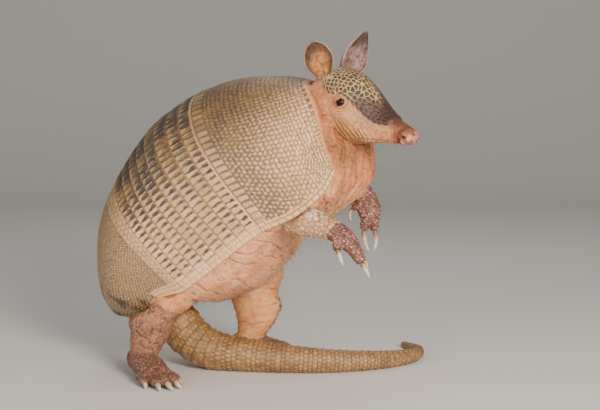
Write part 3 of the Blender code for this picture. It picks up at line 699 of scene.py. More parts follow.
def shield_scutes(low, high, pitch, crowding, seed, merging=0.0):
    """A shield's grid, its rosettes as seams and numbers, and where their small scutes are."""
    grid = ShellGrid(low, high, SHIELD_PITCH)
    centres, sizes = rosettes(low, high, pitch, crowding, seed, merging)
    to_seam, number = nearest_scutes(centres, sizes, grid.points, 5)
    return grid, (to_seam, number), sizes[number.astype(int)] < SMALL_BELOW


def laid_over(mask, top, under):
    """One layout of scutes, its seams and its numbers, over another where the mask is."""
    return [np.where(mask, a, b) for a, b in zip(top, under)]


def scapular_shield():
    """Rosettes, with a row like a band behind, long scutes at the hem and beads in front."""
    grid, scutes, small = shield_scutes(0.0, SCAPULAR_RUN, ROSETTE_PITCH, 0.35, 3, 1.0)
    row_start = SCAPULAR_RUN - LAST_ROW
    in_row = grid.run > row_start
    at_hem = grid.from_hem < HEM_ROWS * HEM_SCUTE[1]
    small = small & ~in_row & ~at_hem
    place, width = grid.scute_row(BAND_SCUTES)
    side = to_border(place) * width
    row_seam = np.minimum(side, np.minimum(np.abs(grid.run - row_start), SCAPULAR_RUN - grid.run + 0.0008))
    scutes = laid_over(in_row, (row_seam, np.floor(place) + 5000), scutes)
    hem_seam, hem_number = brick(grid.run, grid.from_hem, HEM_SCUTE)
    scutes = laid_over(at_hem, (hem_seam, hem_number + 9000), scutes)
    # a row of beads, dark and pale in turn, along the front edge
    pitch, depth = BEADS
    beads = grid.run < depth
    bead = grid.from_right / pitch
    bead_seam = np.minimum(to_border(bead) * pitch, np.abs(grid.run - depth))
    to_seam, number = laid_over(beads, (bead_seam, np.floor(bead) + 7000), scutes)
    front_low = smooth(grid.from_hem, 0.125, 0.030) * smooth(grid.run, 0.085, 0.015)
    upper = smooth(grid.from_hem, 0.055, 0.115)
    rear = smooth(grid.run, 0.015, 0.080)
    chance = scute_tone(number)
    # the tone is partly the shield's own colour and partly painted light low in front and painted shade on
    # top
    tone = 0.56 + 0.50 * front_low - 0.50 * upper * (0.6 + 0.4 * rear) + 0.40 * (chance - 0.5)
    tone = np.where(at_hem, 0.80 + 0.2 * chance, tone)
    dark = np.where(small, 0.62 + 0.30 * upper * (0.5 + 0.5 * rear) + 0.25 * rear - 0.45 * front_low, 0.0)
    dark = dark + 0.45 * upper * rear * (chance > 0.70)
    along_row = (grid.run - row_start) / LAST_ROW
    stroke_width = (0.0024 + 0.0006 * upper) * np.sqrt(np.clip(1.1 - along_row, 0.02, 1.0))
    strokes = 1.0 - smooth(side, 0.0, stroke_width)
    dark = np.where(in_row, strokes * smooth(grid.from_hem, 0.012, 0.03) * 0.95, dark)
    dark = np.where(at_hem, 0.0, dark)
    dark = np.where(beads, 0.85 * (np.floor(bead) % 2) * smooth(grid.from_hem, 0.04, 0.07), dark)
    dark = dark * smooth(to_seam, -0.0002, 0.0004)
    seam = 1.0 - smooth(to_seam, 0.0, 0.0007 + 0.0002 * front_low)
    high = np.where(small, 0.00045, 0.00120 + 0.00030 * front_low - 0.00050 * upper)
    lift = SINK + scute_relief(to_seam, high, np.where(small, 0.0009, 0.0019))
    edge = smooth(grid.run, 0.0, 0.004)
    lift = lift - 0.0012 * (1.0 - edge) + 0.0006 * smooth(grid.run, row_start, SCAPULAR_RUN)
    add_plate("scapular_shield", grid, lift, seam, tone, dark, 0.0)


def band(index):
    """One row of long scutes with dark wedges between them, and bare skin in front."""
    pitch = (PELVIC_RUN - SCAPULAR_RUN) / BAND_COUNT
    low = SCAPULAR_RUN + pitch * index
    grid = ShellGrid(low, low + pitch + LAP, BAND_PITCH)
    v = (grid.run - low) / pitch
    place, width = grid.scute_row(BAND_SCUTES, 0.37 * index)
    cell = np.floor(place)
    to_side = to_border(place) * width
    chance = scute_tone(cell + 211.0 * (index + 1))
    upper = smooth(grid.from_hem, 0.050, 0.120)
    hem = 1.0 - smooth(grid.from_hem, 0.006, 0.016)
    hem_seam, _ = brick(grid.run + 0.004 * index, grid.from_hem, BAND_HEM_SCUTE)
    at_hem = grid.from_hem < 2.0 * BAND_HEM_SCUTE[1]
    to_front = np.maximum(grid.run - low - 0.0022, 0.0)
    to_seam = np.where(at_hem, hem_seam, np.minimum(to_side, to_front))
    # the wedges are widest in front and meet in a zigzag on the back
    reach = 0.74 + 0.22 * upper + 0.45 * (chance - 0.5)
    wedge = (0.50 + 0.50 * upper) * np.sqrt(np.clip(1.0 - (v / reach) ** 2.4, 0.0, 1.0))
    from_middle = 2.0 * np.abs(place - cell - 0.5) + 0.26 * noise_at(grid.points, 0.0026, 5.0)
    dark = smooth(from_middle, 1.0 - wedge - 0.16, 1.0 - wedge + 0.12) * smooth(v, 0.05, 0.20)
    dark = dark * (1.00 + 0.20 * upper + 0.45 * (scute_tone(cell * 3.1 + index) - 0.5)) * (1.0 - hem)
    rear_flank = smooth(index, 2.0, 7.0)
    # the tone is darker on top, partly the band's own colour and partly painted shade; the pale hem is its
    # own colour
    tone = 0.66 - 0.42 * upper + 0.30 * (chance - 0.5) + 0.50 * hem + 0.16 * rear_flank * (1 - upper)
    tone = tone + 0.22 * noise_at(grid.points, 0.018, 7.0) * (1.0 - hem)
    front_seam = 0.45 * (1.0 - smooth(to_front, 0.0, 0.0006)) * smooth(v, 0.02, 0.16)
    seam = np.maximum(1.0 - smooth(to_side, 0.0, 0.0006), front_seam)
    seam = np.where(at_hem, 0.6 * (1.0 - smooth(hem_seam, 0.0, 0.0006)), seam)
    gap, bare = (0.20, 1.0) if index == 0 else (0.05, 0.35)
    skin = (1.0 - smooth(v, gap, gap + 0.08)) * (1.0 - 0.55 * upper) * bare
    lift = SINK + scute_relief(to_seam, 0.0009, 0.0016)
    lift = lift - 0.0008 * (1.0 - smooth(v, 0.02, 0.20)) + 0.0003 * smooth(v, 0.2, 0.9)
    lift = lift - 0.0008 * smooth(v, 0.955, 1.04)
    add_plate("band_" + str(index + 1), grid, lift, seam, tone, dark, skin)


def pelvic_shield():
    """Finer rosettes, with three rows like bands in front and long scutes at the front of the hem."""
    grid, scutes, small = shield_scutes(PELVIC_RUN, PELVIC_END, PELVIC_PITCH, 0.25, 5)
    from_front = grid.run - PELVIC_RUN
    in_rows = grid.run < FRONT_ROWS_END
    at_hem = (grid.from_hem < PELVIC_HEM_ROWS * HEM_SCUTE[1]) & (grid.run < PELVIC_HEM_END)
    small = small & ~in_rows & ~at_hem
    row = from_front / FRONT_ROW
    course = np.floor(row)
    place, width = grid.scute_row(PELVIC_SCUTES, 0.5 * (course % 2))
    side = to_border(place) * width
    row_seam = np.minimum(side, to_border(row) * FRONT_ROW)
    scutes = laid_over(in_rows, (row_seam, np.floor(place) + 97 * course + 5000), scutes)
    hem_seam, hem_number = brick(grid.run, grid.from_hem, HEM_SCUTE)
    to_seam, number = laid_over(at_hem, (hem_seam, hem_number + 9000), scutes)
    upper = smooth(grid.from_hem, 0.050, 0.120)
    tail_end = smooth(grid.run, 0.285, 0.335)
    tone = 0.44 + 0.22 * (scute_tone(number) - 0.5) - 0.06 * upper - 0.16 * tail_end
    tone = tone + 0.16 * in_rows * (1.0 - upper) + 0.40 * at_hem
    mottle = noise_at(grid.points, 0.011)
    dark = 0.60 * small + 0.75 * tail_end * smooth(mottle, 0.05, 0.4)
    dark = dark + 0.30 * smooth(mottle, 0.35, 0.6) * (1 - at_hem)
    stroke = (1.0 - smooth(side, 0.0, 0.0010)) * (1.0 - smooth(row - course, 0.35, 0.75))
    dark = np.where(in_rows, stroke * (0.35 + 0.6 * upper), dark)
    dark = np.where(at_hem, 0.0, dark)
    seam = (1.0 - smooth(to_seam, 0.0, 0.0006)) * np.where(in_rows | at_hem, 0.65, 0.55)
    skin = 0.6 * (1.0 - smooth(from_front, 0.0004, 0.0016))
    high = np.where(in_rows | at_hem, 0.0007, np.where(small, 0.0002, 0.00060))
    lift = SINK + scute_relief(to_seam, high, 0.0015)
    lift = lift - 0.0014 * (1.0 - smooth(from_front, 0.0, 0.003))
    add_plate("pelvic_shield", grid, lift, seam, tone, dark, skin)


def shell():
    scapular_shield()
    for index in range(BAND_COUNT):
        band(index)
    pelvic_shield()


# ---------------------------------------------------------------- skin

LIMB_PARTS = ("forearm", "fore_foot", "thigh", "shank", "hind_foot")
FLESH = ["trunk", "neck", "head"] + [part + "_" + side for part in LIMB_PARTS for side in SIDES]
REGIONS = ("head", "neck", "trunk") + LIMB_PARTS
SKIN_VOXEL = 0.0010
FUSE = 0.0006           # each node of flesh grows by this before they are fused


def region_of(name):
    return REGIONS.index(name.rsplit("_", 1)[0] if name.endswith(tuple(SIDES)) else name)


def welded(name):
    """A node's own mesh with its split points joined."""
    bm = bmesh.new()
    bm.from_mesh(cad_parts[name].data)
    bmesh.ops.remove_doubles(bm, verts=bm.verts, dist=0.00001)
    bmesh.ops.recalc_face_normals(bm, faces=bm.faces)
    return bm


def flesh_surface():
    """The solids of flesh as one search tree, with each face's region."""
    points = []
    faces = []
    regions = []
    for name in FLESH:
        bm = welded(name)
        bmesh.ops.triangulate(bm, faces=bm.faces)
        bm.verts.index_update()
        start = len(points)
        points += [vert.co.copy() for vert in bm.verts]
        faces += [[start + vert.index for vert in face.verts] for face in bm.faces]
        regions += [region_of(name)] * len(bm.faces)
        bm.free()
    return BVHTree.FromPolygons(points, faces), np.array(regions)


def fused_flesh():
    """One closed mesh through all the nodes of flesh."""
    whole = bmesh.new()
    for name in FLESH:
        bm = welded(name)
        bm.normal_update()
        grown = [vert.co + vert.normal * FUSE for vert in bm.verts]
        for vert, place in zip(bm.verts, grown):
            vert.co = place
        part = bpy.data.meshes.new("part")
        bm.to_mesh(part)
        bm.free()
        whole.from_mesh(part)
        bpy.data.meshes.remove(part)
    return modified(whole, "REMESH", mode="VOXEL", voxel_size=SKIN_VOXEL)


def mesh_points(mesh):
    points = np.empty(len(mesh.vertices) * 3)
    mesh.vertices.foreach_get("co", points)
    return points.reshape(-1, 3)


def mesh_normals(mesh, points):
    mesh.vertices.foreach_set("co", points.ravel())
    mesh.update()
    normals = np.empty(len(points) * 3)
    mesh.vertex_normals.foreach_get("vector", normals)
    return normals.reshape(-1, 3)


def mesh_edges(mesh):
    edges = np.empty(len(mesh.edges) * 2, int)
    mesh.edges.foreach_get("vertices", edges)
    return edges.reshape(-1, 2)


def neighbour_mean(values, edges, counts):
    """The mean of each point's neighbours, column by column."""
    a, b = edges.T
    size = len(values)
    columns = [np.bincount(a, column[b], size) + np.bincount(b, column[a], size) for column in values.T]
    return np.stack(columns, -1) / counts[:, None]


def relaxed(values, edges, rounds, share=0.5):
    """Values drawn towards their neighbours' mean; share may differ from point to point."""
    values = np.asarray(values, float)
    counts = np.maximum(np.bincount(edges.ravel(), minlength=len(values)), 1)
    share = np.broadcast_to(share, len(values))[:, None]
    for _ in range(rounds):
        values = values + share * (neighbour_mean(values, edges, counts) - values)
    return values


def finer_head(mesh):
    """Splits the faces of the head, fore feet and toes once."""
    points = mesh_points(mesh)
    places = moved(points, HEAD_INVERSE)
    fine = (places[:, 0] > 0.004) & (length_of(places - np.array((0.05, 0.0, 0.012))) < 0.075)
    for side in SIDES:
        low, high = (np.array(corner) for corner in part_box("fore_foot_" + side))
        fine |= ((points > low - 0.002) & (points < high + 0.002)).all(axis=1)
    bm = bmesh.new()
    bm.from_mesh(mesh)
    bm.verts.ensure_lookup_table()
    edges = [edge for edge in bm.edges if fine[edge.verts[0].index] and fine[edge.verts[1].index]]
    bmesh.ops.subdivide_edges(bm, edges=edges, cuts=1, use_grid_fill=True)
    bm.to_mesh(mesh)
    bm.free()


class Skin:
    """The fused flesh as arrays, with soft weights for the body's regions."""

    def __init__(self):
        self.mesh = fused_flesh()
        finer_head(self.mesh)
        self.edges = mesh_edges(self.mesh)
        self.points = mesh_points(self.mesh)
        self.solid, face_regions = flesh_surface()
        nearest = [self.solid.find_nearest(point) for point in self.points.tolist()]
        label = face_regions[[hit[2] for hit in nearest]]
        weights = (label[:, None] == np.arange(len(REGIONS))[None, :]).astype(float)
        weights = relaxed(weights, self.edges, 14, 0.9)
        self.part = {region: weights[:, i] for i, region in enumerate(REGIONS)}
        self.smooth_out()

    def smooth_out(self):
        """Takes the facets off the solids and keeps the volume."""
        slim = self.part["fore_foot"] + self.part["hind_foot"]
        snout = self.part["head"] * smooth(self.in_head()[:, 0], 0.060, 0.100)
        share = 0.62 - 0.52 * np.clip(slim + 0.6 * snout, 0, 1)
        self.points = relaxed(self.points, self.edges, 55, share)
        self.points = relaxed(self.points, self.edges, 3, 0.4)
        normals = self.normals()
        hits = [self.solid.find_nearest(point) for point in self.points.tolist()]
        gap = ((np.array([hit[0] for hit in hits]) - self.points) * normals).sum(axis=1)
        gap = relaxed(np.clip(gap, -0.002, 0.0012)[:, None], self.edges, 25, 0.6)[:, 0]
        self.points = self.points + normals * gap[:, None]
        # a longer smoothing where thigh and shank meet
        knee = relaxed((self.part["thigh"] * self.part["shank"])[:, None], self.edges, 60, 0.9)[:, 0]
        knee = smooth(knee / knee.max(), 0.01, 0.20)
        self.points = mix(self.points, relaxed(self.points, self.edges, 180, 0.9), knee)
        self.raise_by(0.0018 * knee)

    def in_body(self):
        """The points in the body's own frame."""
        return self.points - BODY_AT

    def in_head(self):
        """The points in the head's own frame."""
        return moved(self.points, HEAD_INVERSE)

    def normals(self):
        return mesh_normals(self.mesh, self.points)

    def raise_by(self, height):
        self.points = self.points + self.normals() * height[:, None]


def dent(places, centre, radii, depth):
    """A soft round dent or, with a negative depth, a bump."""
    away_by = length_of((places - np.array(centre)) / np.array(radii))
    return -depth * np.exp(-2.0 * away_by**2)


def path_distance(places, path):
    """Distance to a bent line."""
    best = np.full(len(places), 1e9)
    path = [np.array(point) for point in path]
    for a, b in zip(path, path[1:]):
        step = b - a
        t = np.clip(((places - a) @ step) / (step @ step), 0, 1)
        best = np.minimum(best, length_of(places - (a + t[:, None] * step)))
    return best


EYE_OPENING = (0.0040, 0.0031)      # half length and half height of the eye's opening
NOSTRILS = {"right": (0.1030, -0.0079, 0.0122), "left": (0.1076, 0.0008, 0.0136)}
MOUTH_LINE = [
    (0.103, 0.0086, 0.0052), (0.0886, 0.0101, 0.0046), (0.076, 0.0125, 0.0026), (0.063, 0.0150, 0.0010),
]


def sculpt_head(skin):
    """Lids, nostrils, mouth, nose pad, jaw folds and the wrinkles of the cheeks."""
    places = skin.in_head()
    mirrored = places * np.array((1.0, -1.0, 1.0))
    on_head = skin.part["head"]
    height = np.zeros(len(places))
    skin.lid_edge = np.zeros(len(places))
    for local in (places, mirrored):
        from_eye = local - np.array(EYE_AT)
        turned = from_eye[:, 0] * 0.94 + from_eye[:, 2] * 0.34
        raised = -from_eye[:, 0] * 0.34 + from_eye[:, 2] * 0.94
        opening = np.hypot(turned / EYE_OPENING[0], raised / EYE_OPENING[1])
        near = ridge(length_of(from_eye), 0.016) * (local[:, 1] > 0.002)
        corner = smooth(-turned, 0.0026, 0.0040) * smooth(-turned, 0.0066, 0.0050) * ridge(raised, 0.0009)
        skin.lid_edge += near * np.maximum(smooth(opening, 1.26, 1.08), corner)
        lid = 0.0013 + 0.0009 * smooth(raised, -0.001, 0.002)
        height += near * (lid * ridge(opening - 1.26, 0.26) - 0.0030 * smooth(opening, 1.05, 0.75))
        under = smooth(raised, 0.001, -0.002)
        height += near * under * (0.0008 * ridge(opening - 2.15, 0.24) + 0.0004 * ridge(opening - 2.95, 0.24))
        height += near * 0.0010 * ridge(opening - 1.80, 0.30) * smooth(raised - 0.4 * turned, 0.001, 0.004)
        to_mouth = path_distance(local, MOUTH_LINE)
        height += on_head * (-0.0014 * ridge(to_mouth, 0.0008) + 0.0006 * ridge(to_mouth - 0.0022, 0.0014))
        # folds that run back and down from the corner of the mouth, and over the jaw
        slant = local[:, 0] * 0.80 + local[:, 2] * 0.60
        wander = noise_at(local, 0.013, 3.0) * 0.0022
        jaw = smooth(local[:, 0], 0.082, 0.062) * smooth(local[:, 2], 0.016, 0.004) * (local[:, 1] > 0)
        height += on_head * jaw * 0.00060 * ripple(slant + wander, 0.0042)
    skin.nostril = sum(dent(places, nostril, (0.0034, 0.0027, 0.0022), -1.0) for nostril in NOSTRILS.values())
    height -= 0.0034 * skin.nostril
    for nostril in NOSTRILS.values():
        flap = np.array(nostril) + np.array((-0.0016, 0.0, 0.0034))
        height += dent(places, flap, (0.0042, 0.0034, 0.0016), -0.0010)
    x, _, z = places.T
    bridge = smooth(x, 0.088, 0.095) * smooth(z, 0.008, 0.014)
    height += on_head * bridge * 0.0002 * ripple(x + 0.15 * z, 0.0024)
    height += on_head * 0.0004 * smooth(x, 0.1020, 0.1045) * smooth(z, 0.0155, 0.012)
    height -= on_head * 0.0012 * ridge(x - 0.0985, 0.0022) * smooth(z, 0.013, 0.008)
    height += on_head * 0.00022 * noise_at(places, 0.0042, 9.0)
    skin.raise_by(height)


NECK_MIDDLE = 0.022         # X of the middle of the neck
NECK_RADIUS = 0.040


def sculpt_body(skin):
    """Neck folds, the ringed throat, ridges over the belly and creased legs."""
    part = skin.part
    x, y, z = skin.in_body().T
    wander = noise_at(skin.points, 0.022, 1.0)
    fine = noise_at(skin.points, 0.007, 5.0)
    neck = np.clip(part["neck"] + 0.8 * part["trunk"] * smooth(z, 0.125, 0.160), 0, 1)
    around = np.arctan2(y, x - NECK_MIDDLE) * NECK_RADIUS
    trunk = part["trunk"] * smooth(z, 0.165, 0.140)
    front = smooth(x, -0.010, 0.012)
    belly = trunk * (1.0 - 0.6 * front)
    down = z * 0.80 + x * 0.35
    legs = part["thigh"] + part["shank"]
    slant = z - 0.55 * x
    height = (1 - part["head"]) * (0.0007 * wander + 0.00014 * fine)
    for where, rise, place, length in (
        (neck, 0.0014, around + 0.007 * wander, 0.0150),
        (neck, 0.00050, around + 0.003 * fine + 0.006 * wander, 0.0052),
        (neck, 0.00040, z + 0.3 * around + 0.005 * fine, 0.0060),
        (trunk * front, 0.0009, y + 0.25 * z + 0.004 * wander, 0.0090),
        (belly, 0.00016, down + 0.004 * fine + 0.008 * wander, 0.0042),
        (legs, 0.00026, slant + 0.016 * wander, 0.0130),
        (legs, 0.00016, slant + 0.004 * fine + 0.010 * wander, 0.0046),
    ):
        height += where * rise * ripple(place, length)
    fold = smooth(ripple(down + 0.014 * wander, 0.0125), 0.70, 1.0)
    height -= belly * 0.00110 * fold * (0.5 + 0.5 * np.sign(fine) * np.abs(fine) ** 0.5)
    limbs = part["forearm"] + part["fore_foot"] + part["hind_foot"]
    height += limbs * 0.00045 * noise_at(skin.points, 0.0035, 2.0)
    # the folds die away where the skin goes in under the shell's front edge
    rim = search_tree(shell_surface(0.001, np.linspace(-1.0, 1.0, 61)))
    to_rim = np.array([rim.find(point)[2] for point in skin.points.tolist()])
    tucked = 1.0 - smooth(to_rim, 0.004, 0.014)
    collar = 0.0030 * smooth(z, 0.215, 0.240)
    skin.raise_by(height * (1.0 - tucked) + (collar - 0.0002) * tucked)


# Soft patches of colour: region, centre in the head's frame or the body's, reach, colour, strength
HEAD_PATCHES = [
    ((0.045, 0.000, 0.045), (0.040, 0.022, 0.016), (0.36, 0.27, 0.17), 1.0),      # crown
    ((0.040, 0.022, 0.018), (0.022, 0.014, 0.014), (0.80, 0.440, 0.240), 1.2),    # cheek
    ((0.058, 0.016, 0.016), (0.016, 0.012, 0.010), (0.86, 0.510, 0.310), 1.2),    # below the eye
    ((0.040, 0.014, -0.006), (0.024, 0.022, 0.013), (0.30, 0.145, 0.040), 1.7),   # jaw
    ((0.043, 0.023, 0.003), (0.013, 0.016, 0.012), (0.42, 0.210, 0.070), 1.5),    # back of the jaw
    ((0.052, 0.018, -0.013), (0.017, 0.018, 0.012), (0.40, 0.200, 0.072), 1.4),   # throat
    ((0.068, 0.012, 0.0190), (0.014, 0.006, 0.0060), (0.36, 0.245, 0.195), 1.0),  # below the shield
    ((0.068, 0.000, 0.026), (0.016, 0.014, 0.010), (0.30, 0.21, 0.19), 1.0),      # grey bridge
    ((0.082, 0.010, 0.008), (0.020, 0.010, 0.009), (0.72, 0.390, 0.205), 1.1),    # side of the snout
    ((0.092, 0.000, 0.019), (0.014, 0.009, 0.005), (0.14, 0.060, 0.036), 1.3),    # top of the snout
    ((0.098, 0.008, 0.010), (0.005, 0.005, 0.010), (0.30, 0.075, 0.040), 1.3),    # red rim behind the nose
    ((0.104, 0.004, 0.0165), (0.006, 0.008, 0.004), (0.48, 0.190, 0.055), 1.6),    # tip of the bridge
    ((0.107, 0.000, 0.0075), (0.006, 0.012, 0.006), (0.74, 0.450, 0.400), 1.5),    # nose pad
    ((0.040, 0.0215, 0.031), (0.0085, 0.006, 0.0070), (0.40, 0.170, 0.095), 0.9), # rim of the eye
    ((0.016, 0.018, 0.030), (0.014, 0.014, 0.018), (0.76, 0.350, 0.190), 1.0),    # below the ear
]
BODY_COLOURS = {
    "head": (0.73, 0.41, 0.215), "neck": (0.83, 0.390, 0.205), "trunk": (0.94, 0.520, 0.320),
    "forearm": (0.48, 0.285, 0.150), "fore_foot": (0.29, 0.145, 0.110), "thigh": (0.84, 0.430, 0.215),
    "shank": (0.78, 0.400, 0.200), "hind_foot": (0.34, 0.185, 0.120),
}


def patched_tint(skin, places):
    """The colour of each region, with the head's soft patches over it."""
    part = skin.part
    colour = sum(part[region][:, None] * np.array(BODY_COLOURS[region]) for region in REGIONS)
    x, y, z = places.T
    folded = np.stack([x, np.abs(y), z], -1)
    on_head = np.clip(part["head"] + 0.9 * part["neck"] * smooth(x, 0.031, 0.043), 0, 1)
    for centre, reach, patch, strength in HEAD_PATCHES:
        away_by = length_of((folded - np.array(centre)) / np.array(reach))
        colour = mix(colour, patch, np.clip(strength * ridge(away_by, 1.0), 0, 1) * on_head)
    return colour


def skin_tint(skin):
    """Each point's colour: its region, the head's patches, darker creases and blotches."""
    part = skin.part
    head = part["head"]
    places = skin.in_head()
    x, _, z = places.T
    _, y_body, z_body = skin.in_body().T
    normals = skin.normals()
    blotch = noise_at(skin.points, 0.016, 11.0)
    speck = noise_at(skin.points, 0.0032, 4.0)
    warm = smooth(blotch, 0.0, 0.5) * (part["trunk"] + part["neck"] + part["thigh"])
    pale = smooth(-blotch, 0.1, 0.5) * (part["trunk"] + part["thigh"])
    limbs = part["fore_foot"] + part["hind_foot"] + 0.6 * part["forearm"] + 0.2 * part["shank"]
    colour = layered(
        patched_tint(skin, places),
        ((0.78, 0.270, 0.140), 0.40 * warm),
        ((0.90, 0.550, 0.420), 0.45 * pale),
        ((0.16, 0.095, 0.075), 0.55 * smooth(speck, 0.05, 0.5) * np.clip(limbs, 0, 1)),
    )
    # painted shade: the creases are darker and redder than the folds between them
    depth = ((relaxed(skin.points, skin.edges, 6, 0.6) - skin.points) * normals).sum(axis=1)
    freckle = noise_at(skin.points, 0.0022, 14.0) + 0.6 * blotch
    scaly = 0.50 * head + 0.30 * part["neck"] + 0.15 * part["trunk"]
    mottle = smooth(speck + 0.5 * blotch, -0.10, 0.30)
    colour = tinged(
        colour,
        ((0.50, 0.27, 0.22), 0.95 * smooth(depth, 0.00002, 0.00030)),
        ((0.62, 0.48, 0.40), scaly * smooth(freckle, 0.10, 0.55)),
        ((0.72, 0.58, 0.50), 0.7 * smooth(x, 0.066, 0.084) * head * mottle),
    )
    red = 0.75 * smooth(x, 0.094, 0.102) * head * smooth(noise_at(places, 0.0055, 21.0), 0.12, 0.45)
    colour = mix(colour, (0.24, 0.070, 0.045), red)
    # painted light: the folds that stand out between the creases are paler
    colour = tinged(colour, (1.16, 0.6 * smooth(-depth, 0.00003, 0.00030)))
    # the nose: a red-brown rim above and behind, and painted shade that darkens the nostrils in the pale pad
    rim = smooth(x, 0.1005, 0.1025) * smooth(z, 0.0140, 0.0160)
    behind = smooth(np.abs(x - 0.0995), 0.0032, 0.0010) * smooth(z, 0.002, 0.006)
    colour = layered(
        colour,
        # painted shade: the trunk darkens low down, near the floor
        ((0.42, 0.22, 0.15), 0.5 * smooth(z_body, 0.10, 0.05) * part["trunk"]),
        ((0.130, 0.028, 0.016), 0.85 * np.clip(rim * 0.6 + behind, 0, 1) * head),
        ((0.060, 0.026, 0.024), 0.9 * np.clip(skin.lid_edge, 0, 1)),
        ((0.16, 0.050, 0.040), 0.6 * smooth(skin.nostril, 0.20, 0.50)),
        ((0.018, 0.007, 0.007), smooth(skin.nostril, 0.42, 0.66)),
    )
    # painted shade darkens the chest where it faces forward, the nape below the shell's front edge and the
    # near shank; painted light makes the far leg paler, and the hands are darker in their own colour
    chest_shade = smooth(normals[:, 0], 0.2, 0.8) * (part["trunk"] + 0.5 * part["neck"])
    chest_shade = np.clip(chest_shade * smooth(z_body, 0.13, 0.17), 0, 1)
    # painted shade on the near shank and foot
    near_shank_shade = np.clip(part["shank"] + part["hind_foot"], 0, 1) * (y_body < 0.0)
    # painted light on the far leg
    far_leg_light = np.clip(part["thigh"] + part["shank"], 0, 1) * (y_body > 0.0)
    return tinged(
        colour * np.array((1.0, 0.88, 0.76)),
        ((0.70, 0.55, 0.46), 0.9 * chest_shade),
        # painted shade on the nape, under the shell's front edge
        ((0.66, 0.54, 0.54), 0.9 * part["neck"] * smooth(z_body, 0.212, 0.240)),
        ((0.58, 0.50, 0.48), 0.95 * near_shank_shade),
        ((1.42, 1.34, 1.24), far_leg_light),
        ((0.70, 0.60, 0.62), np.clip(part["fore_foot"], 0, 1)),
    )


def add_skin():
    skin = Skin()
    sculpt_body(skin)
    sculpt_head(skin)
    skin.points[:, 2] = np.maximum(skin.points[:, 2], 0.0)
    paint(skin.mesh, "tint", np.clip(skin_tint(skin), 0, 1))
    skin.mesh.vertices.foreach_set("co", skin.points.ravel())
    skin.mesh.materials.clear()
    skin.mesh.materials.append(BARE_SKIN)
    skin.mesh.shade_smooth()
    obj = in_scene("skin", skin.mesh)
    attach(obj, "root")
    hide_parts(*FLESH)
    return skin


# ---------------------------------------------------------------- head shield, ears and eyes

# distance from the back of the head, half width, top, bottom
HEAD_STATIONS = np.array([
    (0.000, 0.0170, 0.0400, 0.0040),
    (0.008, 0.0215, 0.0455, -0.0070),
    (0.018, 0.0238, 0.0485, -0.0122),
    (0.032, 0.0240, 0.0490, -0.0138),
    (0.046, 0.0220, 0.0450, -0.0118),
    (0.060, 0.0182, 0.0361, -0.0070),
    (0.076, 0.0138, 0.0252, -0.0020),
    (0.090, 0.0108, 0.0199, 0.0014),
    (0.100, 0.0094, 0.0174, 0.0030),
    (0.106, 0.0084, 0.0160, 0.0040),
    (0.108, 0.0055, 0.0140, 0.0066),
])
HEAD_CENTRE_SHARE = 0.42    # the widest place, as a share of the way from the bottom to the top
HEAD_POWER = 0.92           # a little squarer in section than an ellipse, which has 1
HEAD_SHIELD_RUN = (0.010, 0.088)
# share of the shield's length, and the angle that it reaches to on each side there
HEAD_SHIELD_SPREAD = np.array([
    (0.0, 0.62), (0.20, 0.94), (0.40, 0.86), (0.55, 0.94), (0.70, 1.07), (0.84, 1.08), (1.0, 0.78),
])
# distance from the back of the head, and the scutes' width there
HEAD_SCUTES = np.array([(0.010, 0.0035), (0.022, 0.0043), (0.038, 0.0048), (0.058, 0.0052), (0.088, 0.0040)])
SHIELD_LIFT = 0.0014
SHIELD_THICK = 0.0020


def head_surface(run, angle, lift=0.0):
    """Points of the head: angle 0 is the crown, positive to its left."""
    run, angle, lift = np.broadcast_arrays(run, angle, lift)
    row = interpolate(HEAD_STATIONS, run)
    half_width, top, bottom = row[..., 0], row[..., 1], row[..., 2]
    centre = bottom + HEAD_CENTRE_SHARE * (top - bottom)
    up = np.cos(angle)
    side = np.sin(angle)
    high = np.where(up > 0, top - centre, centre - bottom) + lift
    z = centre + np.copysign(np.abs(up) ** HEAD_POWER, up) * high
    y = np.copysign(np.abs(side) ** HEAD_POWER, side) * (half_width + lift)
    return moved(np.stack([run, y, z], -1), HEAD)


def head_scute_centres():
    """Rows of scutes, small between the ears, large on the forehead, small again to the nose."""
    draw = np.random.default_rng(12)
    centres = []
    run = HEAD_SHIELD_RUN[0] - 0.002
    row = 0
    while run < HEAD_SHIELD_RUN[1] + 0.002:
        pitch = float(interpolate(HEAD_SCUTES, run)[0])
        around = 2.6 * float(interpolate(HEAD_STATIONS, run)[0])
        count = math.ceil(around / pitch)
        steps = np.arange(-count, count + 1) + 0.5 * (row % 2)
        angles = steps * pitch / (0.5 * around + 0.006)
        angles = angles[np.abs(angles) < 1.5]
        jitter = draw.normal(0.0, 0.14 * pitch, (2, len(angles)))
        centres.append(head_surface(run + jitter[0], angles + jitter[1] / 0.022))
        run += 0.86 * pitch
        row += 1
    return np.concatenate(centres)


def head_run(share):
    """Distance from the back of the head at a share of the shield's length."""
    start, end = HEAD_SHIELD_RUN
    return start + (end - start) * share


